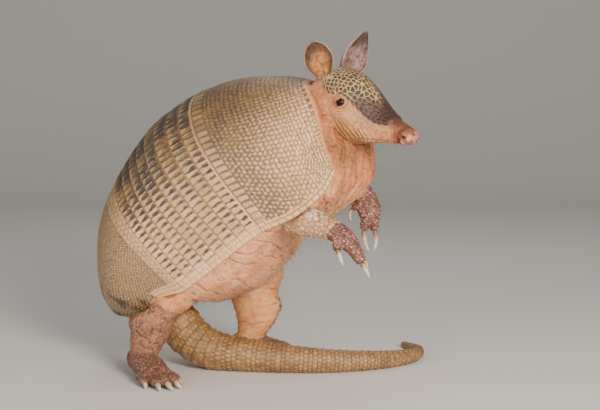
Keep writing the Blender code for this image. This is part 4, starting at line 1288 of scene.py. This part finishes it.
def head_shield_tint(share, turn, seam, number, ragged, edge):
    """Dark scutes in a pale network, browner over the brow, worn at the edge and to the nose."""
    tone = scute_tone(number)
    size = interpolate(HEAD_SCUTES, head_run(share[:, 0]))
    heart = smooth(seam + ragged, 0.00016, 0.00030 + 0.03 * size)
    brow = smooth(share, 0.44, 0.66) * smooth(np.abs(turn) + 0.8 * smooth(share, 0.6, 0.9), 0.20, 0.70)
    network = layered((0.50, 0.370, 0.180), ((0.68, 0.510, 0.275), tone),
                      ((0.098, 0.056, 0.046), 0.92 * brow))
    dark = layered((0.034, 0.018, 0.010), ((0.105, 0.058, 0.028), scute_tone(number + 7)),
                   ((0.058, 0.030, 0.028), 0.92 * brow))
    worn = smooth(edge, 0.14, 0.0) * smooth(share, 0.50, 0.68) * smooth(ragged, -0.0002, 0.0001)
    tint = layered(
        network,
        (dark, 0.96 * heart * smooth(tone, 0.01, 0.06)),
        ((0.52, 0.43, 0.25), 0.45 * smooth(share, 0.22, 0.02)),
        ((0.33, 0.240, 0.190), 0.75 * worn),
    )
    return tinged(tint, ((0.55, 0.36, 0.28), smooth(share, 0.66, 0.95)))


def add_head_shield():
    share = np.linspace(0.0, 1.0, 180)[:, None]
    turn = np.linspace(-1.0, 1.0, 120)[None, :]
    run = head_run(share)
    edge = np.minimum(1.0 - np.abs(turn), 4.0 * np.minimum(share, 1.0 - share))
    wavy = 0.03 * ripple(run, 0.0052) * smooth(np.abs(turn), 0.6, 1.0)
    angle = (interpolate(HEAD_SHIELD_SPREAD, share[:, 0]) + wavy) * turn
    points = head_surface(run, angle)
    normals = unit(points - head_surface(run, angle, -0.001))
    centres = head_scute_centres()
    seam, number = nearest_scutes(centres, np.ones(len(centres)), points, 2)
    lift = SHIELD_LIFT * smooth(edge, 0.0, 0.16) - 0.0002
    lift = lift + scute_relief(seam, 0.00050, 0.0011) * smooth(edge, 0.0, 0.05)
    ragged = 0.00022 * noise_at(points, 0.0011, 2.0)
    tint = head_shield_tint(share, turn, seam, number, ragged, edge)
    sheet, faces, corner_uv, grid_of = closed_sheet(points, normals, lift, SHIELD_THICK)
    obj = mesh_object("head_shield", sheet, faces, SCALE_HORN,
                      tint=spread_to_sheet(tint, grid_of), corner_uv=corner_uv)
    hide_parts("head_shield")


EAR_LENGTH = {"right": 0.0335, "left": 0.037}
EAR_WIDTH = 0.0245
EAR_THICK = 0.0014
EAR_ROOT = {"right": (0.0135, -0.0135, 0.0475), "left": (0.0125, 0.0150, 0.0440)}
# share of the ear's length, and share of its full width there
EAR_OUTLINE = {
    "right": np.array([
        (0.0, 0.26), (0.20, 0.66), (0.45, 0.97), (0.64, 1.00), (0.82, 0.80), (0.93, 0.52), (1.0, 0.16),
    ]),
    "left": np.array([
        (0.0, 0.50), (0.15, 0.86), (0.35, 1.00), (0.55, 0.88), (0.75, 0.58), (0.90, 0.32), (1.0, 0.08),
    ]),
}
# a factor for each ear's colours; the left ear's lower one is painted shade
EAR_TONE = {"right": (0.78, 0.70, 0.62), "left": (0.60, 0.54, 0.53)}
EAR_SUNK = 0.004            # how far its root goes into the head
EAR_WRAP = (84, 32)         # degrees that each side curls forward, at the root and at the tip
# the ways that an ear's length and its opening point, in the model's frame
EAR_POSE = {
    "right": ((-0.10, -0.58, 0.81), (0.45, -0.85, -0.30)),
    "left": ((0.40, 0.22, 0.88), (0.80, -0.60, 0.00)),
}


def ear_veins(share, turn):
    """Distance from the veins that branch over an ear."""
    return np.abs(noise_at(np.stack([turn * 1.5, share * 1.1, 0 * share], -1), 0.55, 3.0))


def ear_tint(side, share, turn, place):
    """Colours inside one ear: share runs from root to tip, turn from -1 to 1 across it."""
    vein = ear_veins(share, turn)
    blotch = noise_at(place, 0.006, 8.0)
    fleck = noise_at(place, 0.0026, 17.0)
    if side == "right":
        colour = layered(
            (0.60, 0.270, 0.075),
            ((0.74, 0.420, 0.165), smooth(blotch, -0.4, 0.4)),
            ((0.20, 0.125, 0.075), 0.85 * smooth(np.abs(turn), 0.34, 0.80)),
            ((0.130, 0.078, 0.056), smooth(share - 0.18 * turn, 0.50, 0.82)),
            ((0.21, 0.13, 0.095), smooth(turn, 0.55, 0.95)),
            ((0.62, 0.34, 0.24), smooth(share, 0.16, 0.0)),
        )
    else:
        colour = layered(
            (0.58, 0.470, 0.440),
            ((0.30, 0.215, 0.195), smooth(blotch, -0.2, 0.5)),
            ((0.120, 0.080, 0.062), smooth(share - 0.15 * turn, 0.46, 0.72)),
            ((0.52, 0.19, 0.15), 0.65 * smooth(vein, 0.13, 0.02) * smooth(share, 0.75, 0.35)),
            ((0.66, 0.33, 0.25), 0.8 * smooth(share, 0.32, 0.02)),
        )
    colour = tinged(colour, ((0.60, 0.42, 0.38), 0.6 * smooth(vein, 0.10, 0.0)),
                    ((0.55, 0.42, 0.40), 0.8 * smooth(fleck, 0.05, 0.40)))
    return colour * np.array(EAR_TONE[side])


def ear_matrix(side):
    """From the ear's frame (X to its opening, Z to its tip) to the model."""
    length, opening = (Vector(direction).normalized() for direction in EAR_POSE[side])
    across = length.cross(opening).normalized()
    turn = Matrix((across.cross(length), across, length)).transposed().to_4x4()
    return Matrix.Translation(SHIFT + head_matrix() @ Vector(EAR_ROOT[side])) @ turn


def add_ear(side):
    """A cupped leaf with a thick rim, long folds inside and pebbled skin behind."""
    matrix = ear_matrix(side)
    share, turn = np.meshgrid(np.linspace(0, 1, 84), np.linspace(-1, 1, 60), indexing="ij")
    share = 1.0 - (1.0 - share) ** 1.25
    height = -EAR_SUNK + (EAR_LENGTH[side] + EAR_SUNK) * share
    half = 0.5 * EAR_WIDTH * interpolate(EAR_OUTLINE[side], share)[..., 0]
    wrap = np.radians(EAR_WRAP[0] + (EAR_WRAP[1] - EAR_WRAP[0]) * share)
    radius = half / np.sin(wrap)
    angle = wrap * turn
    wavy = 0.0007 * noise_at(np.stack([share, turn, 0 * share], -1), 0.4, SIDES[side])
    depth = radius * (1.0 - np.cos(angle)) + wavy + 0.0022 * share**2
    inner = np.stack([depth, radius * np.sin(angle), height], -1)
    away_from = np.stack([-np.cos(angle), np.sin(angle), 0 * angle], -1)
    inside = moved(inner, matrix)
    to_root = smooth(share, 0.55, 0.05)
    relief = 0.00035 * smooth(ear_veins(share, turn), 0.16, 0.0)
    relief += 0.0013 * to_root * ridge(turn - 0.28 + 0.15 * share, 0.10)
    relief += 0.0010 * to_root * ridge(turn + 0.34 - 0.10 * share, 0.09)
    relief += 0.0007 * smooth(np.abs(turn), 0.86, 0.97)
    edge = np.minimum(1.0 - np.abs(turn), 1.0 - share)
    thick = EAR_THICK * (0.42 + 0.58 * np.sqrt(np.clip(edge / 0.10, 0.0, 1.0)))
    front = inner - away_from * relief[..., None]
    pebbles = 0.00016 * noise_at(inside, 0.0016, 4.0)
    back = inner + away_from * (thick + pebbles)[..., None]
    points = np.concatenate([front.reshape(-1, 3), back.reshape(-1, 3)])
    index = np.arange(share.size).reshape(share.shape)
    quads = grid_quads(index)
    behind = quads[:, ::-1] + share.size
    ring = np.concatenate([index[:, 0], index[-1, 1:], index[-2::-1, -1], index[0, -2::-1]])
    step = np.stack([ring[:-1], ring[1:], ring[1:] + share.size, ring[:-1] + share.size], -1)
    faces = np.concatenate([quads, behind, step]).tolist()
    rim = smooth(edge, 0.07, 0.0) * smooth(share, 0.1, 0.3)
    inner_tint = mix(ear_tint(side, share, turn, inside), (0.48, 0.350, 0.275), 0.55 * rim)
    outer_tint = layered((0.27, 0.20, 0.165), ((0.43, 0.31, 0.25), smooth(pebbles, -0.0001, 0.0001)),
                         ((0.50, 0.28, 0.20), 0.7 * smooth(share, 0.35, 0.0)))
    tint = np.concatenate([inner_tint.reshape(-1, 3), outer_tint.reshape(-1, 3)])
    obj = mesh_object("ear_" + side, moved(points, matrix), faces, EAR_SKIN, tint=tint)
    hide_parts("ear_" + side)


EYE_RADIUS = 0.0039
EYE_LOOKS = (0.34, 0.92, 0.20)      # the way the left eye looks, in the head's frame


def add_eye(side):
    """A dark wet eye with a faint brown iris and a slightly raised clear front."""
    centre = np.array(middle_of("eye_" + side))
    ahead, aside, up = EYE_LOOKS
    looks = HEAD.to_3x3() @ Vector((ahead, aside * SIDES[side], up)).normalized()
    bm = bmesh.new()
    bmesh.ops.create_uvsphere(bm, u_segments=64, v_segments=44, radius=1.0)
    bm.verts.index_update()
    turn = Vector((0, 0, 1)).rotation_difference(looks).to_matrix()
    directions = np.array([turn @ vert.co for vert in bm.verts])
    # Blender gives a sphere's faces in another order each run
    faces = sorted([vert.index for vert in face.verts] for face in bm.faces)
    bm.free()
    facing = directions @ np.array(looks)
    radius = EYE_RADIUS * (1.0 + 0.05 * smooth(facing, 0.75, 1.0))
    away_by = np.degrees(np.arccos(np.clip(facing, -1, 1)))
    streaks = noise_at(directions, 0.12, 2.0)
    tint = mix((0.006, 0.0022, 0.002), (0.036, 0.010, 0.007), smooth(away_by, 22, 32))
    tint = layered(tint * (1.0 + 0.35 * streaks)[:, None], ((0.015, 0.006, 0.006), smooth(away_by, 46, 56)),
                   ((0.16, 0.070, 0.060), smooth(away_by, 64, 80)))
    obj = mesh_object("eye_" + side, centre + directions * radius[:, None], faces, EYE_WET, tint=tint)
    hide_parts("eye_" + side)


# ---------------------------------------------------------------- claws and tail

def rounded(name):
    """A node's mesh made smooth by subdivision: its points and faces."""
    fine = modified(welded(name), "SUBSURF", levels=3)
    points = mesh_points(fine)
    faces = [list(face.vertices) for face in fine.polygons]
    bpy.data.meshes.remove(fine)
    return points, faces


def claw_tint(points, foot, number):
    """Mottled brown at the claw's root, pale to its tip, with streaks along it."""
    centred = points - points.mean(axis=0)
    axis = np.linalg.svd(centred[::5], full_matrices=False)[2][0]
    along = centred @ axis
    if length_of(points[along.argmax()] - foot) < length_of(points[along.argmin()] - foot):
        along = -along
    along = (along - along.min()) / np.ptp(along)
    drawn_out = np.stack([centred @ (axis * 0.12), centred[:, 1], centred[:, 2]], -1)
    streak = noise_at(drawn_out, 0.0011, number)
    mottle = noise_at(points, 0.0028, number + 5.0)
    return layered(
        (0.60, 0.455, 0.290),
        ((0.76, 0.66, 0.49), smooth(along, 0.2, 0.9)),
        ((0.30, 0.185, 0.115), 0.55 * smooth(streak, 0.05, 0.5)),
        ((0.17, 0.095, 0.065), 0.9 * smooth(along + 0.16 * mottle, 0.42, 0.12)),
    )


def add_claws(kind, count):
    """The claws of two feet as one piece."""
    points = []
    faces = []
    tints = []
    nodes = ["%s_claw_%s_%d" % (kind, side, i) for side in SIDES for i in range(1, count + 1)]
    for name in nodes:
        _, _, side, number = name.split("_")
        places, polygons = rounded(name)
        start = sum(len(others) for others in points)
        points.append(places)
        faces += [[start + i for i in face] for face in polygons]
        tints.append(claw_tint(places, np.array(middle_of(kind + "_foot_" + side)), int(number)))
    obj = mesh_object(kind + "_claws", np.concatenate(points), faces, CLAW_HORN,
                      tint=np.concatenate(tints))
    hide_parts(*nodes)


# x, y, z and radius, from the root to the tip
TAIL_PATH = np.array([
    (-0.158, 0.000, 0.0570, 0.0230),
    (-0.138, -0.005, 0.0550, 0.0225),
    (-0.119, -0.010, 0.0430, 0.0210),
    (-0.103, -0.011, 0.0285, 0.0193),
    (-0.082, -0.011, 0.0178, 0.0178),
    (-0.052, -0.009, 0.0150, 0.0152),
    (-0.016, -0.003, 0.0127, 0.0129),
    (0.024, 0.011, 0.0104, 0.0106),
    (0.060, 0.039, 0.0083, 0.0085),
    (0.081, 0.077, 0.0064, 0.0066),
    (0.078, 0.118, 0.0045, 0.0047),
    (0.055, 0.149, 0.0029, 0.0031),
])
TAIL_PITCH = 0.0007         # between the grid's points along the tail
TAIL_AROUND = 100           # points of the grid around it
TAIL_SCUTE = 0.0042         # width of a scute of the tail
FIRST_ROW = 0.46            # share of a ring that its first row of scutes takes


def tail_rings(length, radius_at):
    """Where each ring of the tail starts, shorter towards the tip."""
    stops = [0.0]
    while stops[-1] < length:
        stops.append(stops[-1] + 0.0042 + 0.30 * float(radius_at(stops[-1])))
    return np.array(stops)


def tail_scutes(far, radius, turn, stops):
    """Each point's distance to a seam, its scute's tone, and how far along its ring it lies."""
    ring = np.clip(np.searchsorted(stops, far, side="right") - 1, 0, len(stops) - 2)
    ring_size = stops[ring + 1] - stops[ring]
    part = (far - stops[ring]) / ring_size
    second = (part > FIRST_ROW).astype(int)
    row_size = np.where(second, 1.0 - FIRST_ROW, FIRST_ROW) * ring_size
    in_row = (part - FIRST_ROW * second) * ring_size
    to_row = np.minimum(in_row, row_size - in_row)[:, None]
    ring_start = np.searchsorted(far, stops[ring]).clip(0, len(far) - 1)
    count = np.maximum(np.round(2 * np.pi * radius[ring_start] / TAIL_SCUTE), 7)
    turned = turn / (2 * np.pi) * count + 0.5 * second[:, None]
    to_side = to_border(turned) * (2 * np.pi * radius / count)
    # the free corners of the scutes are cut off round
    seam = np.minimum(np.minimum(to_row, to_side), 0.75 * (to_row + to_side) - 0.0002)
    tone = scute_tone(np.floor(turned) % count * 31.0 + (2 * ring + second)[:, None] * 7.0)
    return seam, tone, part[:, None]


def tail_tint(points, seam, tone):
    """Olive-brown horn, paler in the middle of each scute as a painted highlight on its dome, and dark in the
    seams.
    """
    horn = layered((0.29, 0.180, 0.068), ((0.46, 0.290, 0.120), tone),
                   ((0.17, 0.105, 0.048), 0.5 * smooth(noise_at(points, 0.02, 6.0), 0.0, 0.5)))
    # painted highlight: each scute is paler away from its seams
    horn = tinged(horn, (1.25, smooth(seam, 0.0005, 0.0016)))
    horn = mix(horn, (0.105, 0.072, 0.045), 0.85 * (1.0 - smooth(seam, 0.0, 0.00055)))
    return horn * np.array((0.86, 0.78, 0.72))


def add_tail():
    """Rings of two rows of scutes; each ring's rear edge stands over the next."""
    steps = length_of(np.diff(TAIL_PATH[:, :3], axis=0))
    keys = np.concatenate([[0.0], np.cumsum(steps)])
    rows = np.column_stack([keys, TAIL_PATH])
    far = np.arange(0.0, keys[-1], TAIL_PITCH)
    row = interpolate(rows, far)
    centre = row[:, :3] + BODY_AT
    radius = row[:, 3:4]
    along = unit(np.gradient(centre, axis=0))
    side = unit(np.array((0.0, 0.0, 1.0)) - along * along[:, 2:3])
    other = np.cross(along, side)
    turn = np.linspace(0.0, 2 * np.pi, TAIL_AROUND, endpoint=False)
    stops = tail_rings(keys[-1], lambda place: interpolate(rows, place)[3])
    seam, tone, part = tail_scutes(far, radius, turn, stops)
    stout = radius / 0.02
    lift = scute_relief(seam, 0.00085, 0.0013) * (0.35 + 0.65 * stout) + 0.0002 * (tone - 0.5)
    ledge = 0.0012 * smooth(part, 0.1, 0.96) * smooth(part, 1.0, 0.97) - 0.0011
    grown = (radius + lift + ledge * (0.3 + 0.7 * stout))[..., None]
    turn = turn[None, :, None]
    points = centre[:, None] + grown * (side[:, None] * np.cos(turn) + other[:, None] * np.sin(turn))
    points[..., 2] = np.maximum(points[..., 2], 0.0)
    index = np.arange(tone.size).reshape(tone.shape)
    following = np.roll(index, -1, axis=1)
    quads = np.stack([index[:-1], following[:-1], following[1:], index[1:]], -1).reshape(-1, 4)
    root, tip = tone.size, tone.size + 1
    ends = [[root, following[0, j], index[0, j]] for j in range(TAIL_AROUND)]
    ends += [[tip, index[-1, j], following[-1, j]] for j in range(TAIL_AROUND)]
    tip_at = centre[-1] + along[-1] * 0.8 * radius[-1]
    horn = tail_tint(points, seam, tone)
    obj = mesh_object("tail", np.concatenate([points.reshape(-1, 3), [centre[0], tip_at]]),
                      quads.tolist() + ends, SCALE_HORN,
                      tint=np.concatenate([horn.reshape(-1, 3), [horn[0, 0], horn[-1, 0]]]))
    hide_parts("tail_1", "tail_2", "tail_3", "tail_4")


def add_parts():
    add_head_shield()
    for side in SIDES:
        add_ear(side)
        add_eye(side)
    add_claws("fore", 4)
    add_claws("hind", 5)
    add_tail()


# ---------------------------------------------------------------- scales of the limbs, and bristles

def scattered(points, candidates, spacing, seed):
    """A random choice of the candidate points that keeps them the spacing apart."""
    order = np.random.default_rng(seed).permutation(candidates)
    taken = {}
    chosen = []
    cells = np.floor(points / spacing).astype(int)
    around = [(i, j, k) for i in (-1, 0, 1) for j in (-1, 0, 1) for k in (-1, 0, 1)]
    for i in order.tolist():
        x, y, z = cells[i].tolist()
        point = points[i]
        near = [taken[key] for key in ((x + a, y + b, z + c) for a, b, c in around) if key in taken]
        if all(((point - points[j]) ** 2).sum() > spacing**2 for j in near):
            taken[(x, y, z)] = i
            chosen.append(i)
    return np.array(chosen)


def limb_direction(skin, part):
    """The way down the limb at each point: from its root to the foot."""
    root, foot = ("forearm", "fore_foot") if part in ("forearm", "fore_foot") else ("shank", "hind_foot")
    right, left = (middle_of(foot + "_" + side) - middle_of(root + "_" + side) for side in SIDES)
    on_left = (skin.in_body()[:, 1] > 0.0)[:, None]
    return np.where(on_left, np.array(left.normalized()), np.array(right.normalized()))


TUFT_PATCH = 0.003          # size of one scale's or bristle's patch on the flat layout


def skin_unwrap(points, normals):
    """A place on a flat layout of the skin: one tile for each way that it faces."""
    low, high = (np.array(corner) for corner in solid_bounds)
    share = (points - low) / (high - low).max()
    axis = np.abs(normals).argmax(axis=1)
    facing = np.take_along_axis(normals, axis[:, None], 1)[:, 0] > 0
    first = np.where(axis == 0, share[:, 1], share[:, 0])
    second = np.where(axis == 2, share[:, 1], share[:, 2])
    return np.stack([(axis + 0.02 + 0.94 * first) / 3, (facing + 0.02 + 0.94 * second) / 2], -1)


def tuft_uv(places, normals, spots, pattern):
    """The corner UVs of many small pieces of one pattern, each on a patch of its own."""
    corner = np.array([i for face in pattern for i in face])
    middle = skin_unwrap(places, normals)
    return (middle[:, None, :] + TUFT_PATCH * np.array(spots)[corner][None, :, :]).reshape(-1, 2)


SCALE_SIDES = 8
SCALE_RINGS = ((0.0, 1.0), (0.58, 0.86), (0.94, 0.34), (1.0, -0.5))    # reach and height of each ring


def scale_pattern():
    """The faces of one scale: a fan about its middle, and rings of quads around that."""
    pattern = [(0, 1 + i, 1 + (i + 1) % SCALE_SIDES) for i in range(SCALE_SIDES)]
    for ring in range(len(SCALE_RINGS) - 2):
        inner = 1 + ring * SCALE_SIDES
        outer = inner + SCALE_SIDES
        for i in range(SCALE_SIDES):
            following = (i + 1) % SCALE_SIDES
            pattern.append((inner + i, outer + i, outer + following, inner + following))
    return pattern


def domed_plates(name, places, normals, ways, sizes, rise, tints):
    """Small overlapping domed scales as one piece, each lifted at its free end."""
    along = unit(ways - normals * (ways * normals).sum(axis=1)[:, None])
    across = np.cross(normals, along)
    points = []
    tinted = []
    spots = []
    for share, high in SCALE_RINGS:
        for angle in np.arange(SCALE_SIDES if share else 1) * 2 * np.pi / SCALE_SIDES:
            ahead = 1.12 * share * math.cos(angle)
            aside = share * math.sin(angle)
            lifted = rise * high + 0.12 * sizes * ahead * (high > 0)
            points.append(places + along * (ahead * sizes)[:, None] + across * (aside * sizes)[:, None]
                          + normals * lifted[:, None])
            # painted shade and light: each scale is darker towards its tucked rim and paler towards its
            # lifted free end
            tinted.append(np.clip(tints * (1.08 - 0.38 * share**2 + 0.08 * ahead), 0, 1))
            spots.append((0.5 * aside, 0.45 * ahead))
    pattern = scale_pattern()
    mesh_object(name, np.stack(points, 1).reshape(-1, 3), copied_faces(pattern, len(points), len(places)),
                SCALE_HORN, tint=np.stack(tinted, 1).reshape(-1, 3),
                corner_uv=tuft_uv(places, normals, spots, pattern))


# part: spacing of its scales, rise, tint, share of random change, smallest weight
LIMB_SCALES = {
    "forearm": (0.0032, 0.00034, (0.64, 0.400, 0.220), 0.22, 0.50),
    "fore_foot": (0.0022, 0.00028, (0.35, 0.172, 0.136), 0.65, 0.55),
    "shank": (0.0029, 0.00024, (0.27, 0.140, 0.092), 0.40, 0.55),
    "hind_foot": (0.0026, 0.00038, (0.25, 0.130, 0.088), 0.40, 0.55),
}
ELBOW_AT = (0.038, -0.066, 0.1535)
ELBOW_REACH = 0.014


def add_limb_scales(skin):
    normals = skin.normals()
    body = skin.in_body()
    for part, (spacing, rise, tint, change, least) in LIMB_SCALES.items():
        ways = limb_direction(skin, part)
        wanted = (skin.part[part] > least) & (skin.points[:, 2] > 0.004)
        if part == "shank":
            wanted &= -np.sign(body[:, 1]) * normals[:, 1] < 0.15
        if part in ("fore_foot", "hind_foot"):
            up = np.cross(np.cross(ways, (0.0, 0.0, 1.0)), ways)
            wanted &= (up * normals).sum(axis=1) > -0.15
        chosen = scattered(skin.points, np.flatnonzero(wanted), spacing, 21)
        count = len(chosen)
        draw = np.random.default_rng(5)
        colours = np.array(tint) * (1.0 + change * draw.uniform(-1, 1, count))[:, None]
        blotch = noise_at(skin.points[chosen], 0.012, 3.0)
        colours = tinged(colours, ((0.55, 0.42, 0.42), 0.8 * smooth(blotch, 0.05, 0.5)))
        at_elbow = smooth(length_of(body[chosen] - np.array(ELBOW_AT)), ELBOW_REACH, 0.4 * ELBOW_REACH)
        colours = mix(colours, (0.78, 0.68, 0.50), 0.9 * at_elbow)
        sizes = spacing * draw.uniform(0.50, 0.60, count) * (1.0 + 0.25 * at_elbow)
        domed_plates(part + "_scales", skin.points[chosen], normals[chosen], ways[chosen], sizes, rise,
                     colours)


BRISTLE_SPACING = 0.0055
BRISTLE_WIDTHS = (0.00013, 0.00009, 0.00002)        # at the root, the middle and the tip


def add_bristles(skin):
    """Sparse stiff hairs on the chin, the throat, the belly and the legs."""
    part = skin.part
    normals = skin.normals()
    height = skin.in_body()[:, 2]
    chin = part["head"] * smooth(skin.in_head()[:, 2], 0.008, -0.002)
    throat = part["neck"] * smooth(normals[:, 0], 0.0, 0.5)
    belly = part["trunk"] * smooth(height, 0.17, 0.14)
    legs = 0.8 * (part["thigh"] + part["shank"] + part["forearm"])
    draw = np.random.default_rng(8)
    wanted = (chin + 0.5 * throat + 0.5 * belly + 0.5 * legs) > draw.uniform(0.1, 1.8, len(height))
    chosen = scattered(skin.points, np.flatnonzero(wanted & (height > 0.01)), BRISTLE_SPACING, 30)
    roots = skin.points[chosen]
    count = len(roots)
    out = normals[chosen]
    lie = np.array((0.25, 0.0, -1.0)) + draw.normal(0.0, 0.35, (count, 3))
    length = draw.uniform(0.003, 0.0065, count)[:, None]
    start = unit(out * 0.75 + 0.35 * lie)
    end = unit(start * 0.55 + 0.60 * unit(lie) + 0.15 * out)
    rings = [roots - out * 0.0004, roots + start * length * 0.5, roots + (start + end) * length * 0.5]
    side = unit(np.cross(start, (0.0, 0.0, 1.0)))
    other = np.cross(start, side)
    points = []
    for ring, width in zip(rings, BRISTLE_WIDTHS):
        for angle in np.arange(3) * 2 * np.pi / 3:
            points.append(ring + width * (side * math.cos(angle) + other * math.sin(angle)))
    pattern = [(3 * r + k, 3 * r + (k + 1) % 3, 3 * r + 3 + (k + 1) % 3, 3 * r + 3 + k)
               for r in (0, 1) for k in range(3)] + [(6, 7, 8)]
    spots = [(k % 3 / 2 - 0.5, k // 3 / 2 - 0.5) for k in range(9)]
    shade = mix(np.array((0.10, 0.060, 0.040)), (0.42, 0.30, 0.19), draw.uniform(0, 1, count) ** 2)
    mesh_object("bristles", np.stack(points, 1).reshape(-1, 3), copied_faces(pattern, 9, count), BRISTLE,
                tint=np.repeat(shade, 9, axis=0), corner_uv=tuft_uv(roots, out, spots, pattern))


# ---------------------------------------------------------------- stage

CAMERA_AZIMUTH = math.radians(20)
CAMERA_ELEVATION = math.radians(5)
CAMERA_DISTANCE = 1.25
CAMERA_LENS = 84.0
CAMERA_TARGET = Vector((0.0, 0.0, 0.152)) + SHIFT


def away(azimuth, elevation, distance):
    """A point at a distance from the camera's target; azimuth 0 looks along +Y."""
    flat = math.cos(elevation) * distance
    offset = Vector((math.sin(azimuth) * flat, -math.cos(azimuth) * flat, math.sin(elevation) * distance))
    return CAMERA_TARGET + offset


def aim(obj, target):
    obj.rotation_euler = (target - obj.location).to_track_quat("-Z", "Y").to_euler()


def camera():
    data = bpy.data.cameras.new("camera")
    data.lens = CAMERA_LENS
    data.sensor_width = 36.0
    data.clip_start = 0.05
    obj = in_scene("camera", data)
    obj.location = away(CAMERA_AZIMUTH, CAMERA_ELEVATION, CAMERA_DISTANCE)
    aim(obj, CAMERA_TARGET)
    bpy.context.scene.camera = obj


def soft_light(name, azimuth, elevation, distance, size, power, colour=(1.0, 1.0, 1.0)):
    data = bpy.data.lights.new(name, "AREA")
    data.size = size
    data.energy = power
    data.color = colour
    obj = in_scene(name, data)
    obj.location = away(math.radians(azimuth), math.radians(elevation), distance)
    aim(obj, CAMERA_TARGET)


BACKDROP_AT = 1.7           # from the animal to where the floor starts to curve up
BACKDROP_CURVE = 1.2
BACKDROP_SIZE = 5.0


def backdrop():
    """A pale sheet: floor under the animal that curves up behind it into a wall."""
    turns = np.linspace(0.0, 0.5 * np.pi, 25)
    wall_at = BACKDROP_AT + BACKDROP_CURVE
    far = np.concatenate([[-BACKDROP_SIZE], BACKDROP_AT + BACKDROP_CURVE * np.sin(turns), [wall_at]])
    high = np.concatenate([[0.0], BACKDROP_CURVE * (1.0 - np.cos(turns)), [BACKDROP_SIZE]])
    ahead = np.array((-math.sin(CAMERA_AZIMUTH), math.cos(CAMERA_AZIMUTH), 0.0))
    across = np.array((math.cos(CAMERA_AZIMUTH), math.sin(CAMERA_AZIMUTH), 0.0))
    profile = far[:, None] * ahead + high[:, None] * np.array((0.0, 0.0, 1.0))
    points = np.concatenate([profile - across * BACKDROP_SIZE, profile + across * BACKDROP_SIZE])
    count = len(far)
    faces = [(i, i + 1, count + i + 1, count + i) for i in range(count - 1)]
    mesh = bpy.data.meshes.new("backdrop")
    mesh.from_pydata(points.tolist(), [], faces)
    mesh.shade_smooth()
    finish, _, _ = new_finish("backdrop_paper", Base_Color=(0.74, 0.725, 0.70, 1), Roughness=0.9)
    mesh.materials.append(finish)
    obj = in_scene("backdrop", mesh)


def stage():
    """The backdrop and soft lights, the strongest near the camera on the animal's front side."""
    backdrop()
    world = bpy.data.worlds.new("studio")
    world.use_nodes = True
    background = world.node_tree.nodes["Background"]
    background.inputs["Color"].default_value = (1.0, 0.975, 0.94, 1)
    background.inputs["Strength"].default_value = 0.28
    bpy.context.scene.world = world
    soft_light("key_light", 40, 15, 1.40, 0.40, 30.0, (1.0, 0.92, 0.81))
    soft_light("fill_light", -25, 6, 1.7, 1.0, 13.0, (1.0, 0.95, 0.88))
    soft_light("rim_light", 200, 50, 1.4, 0.6, 3.0)


camera()
stage()
shell()
SKIN = add_skin()
add_parts()
add_limb_scales(SKIN)
add_bristles(SKIN)
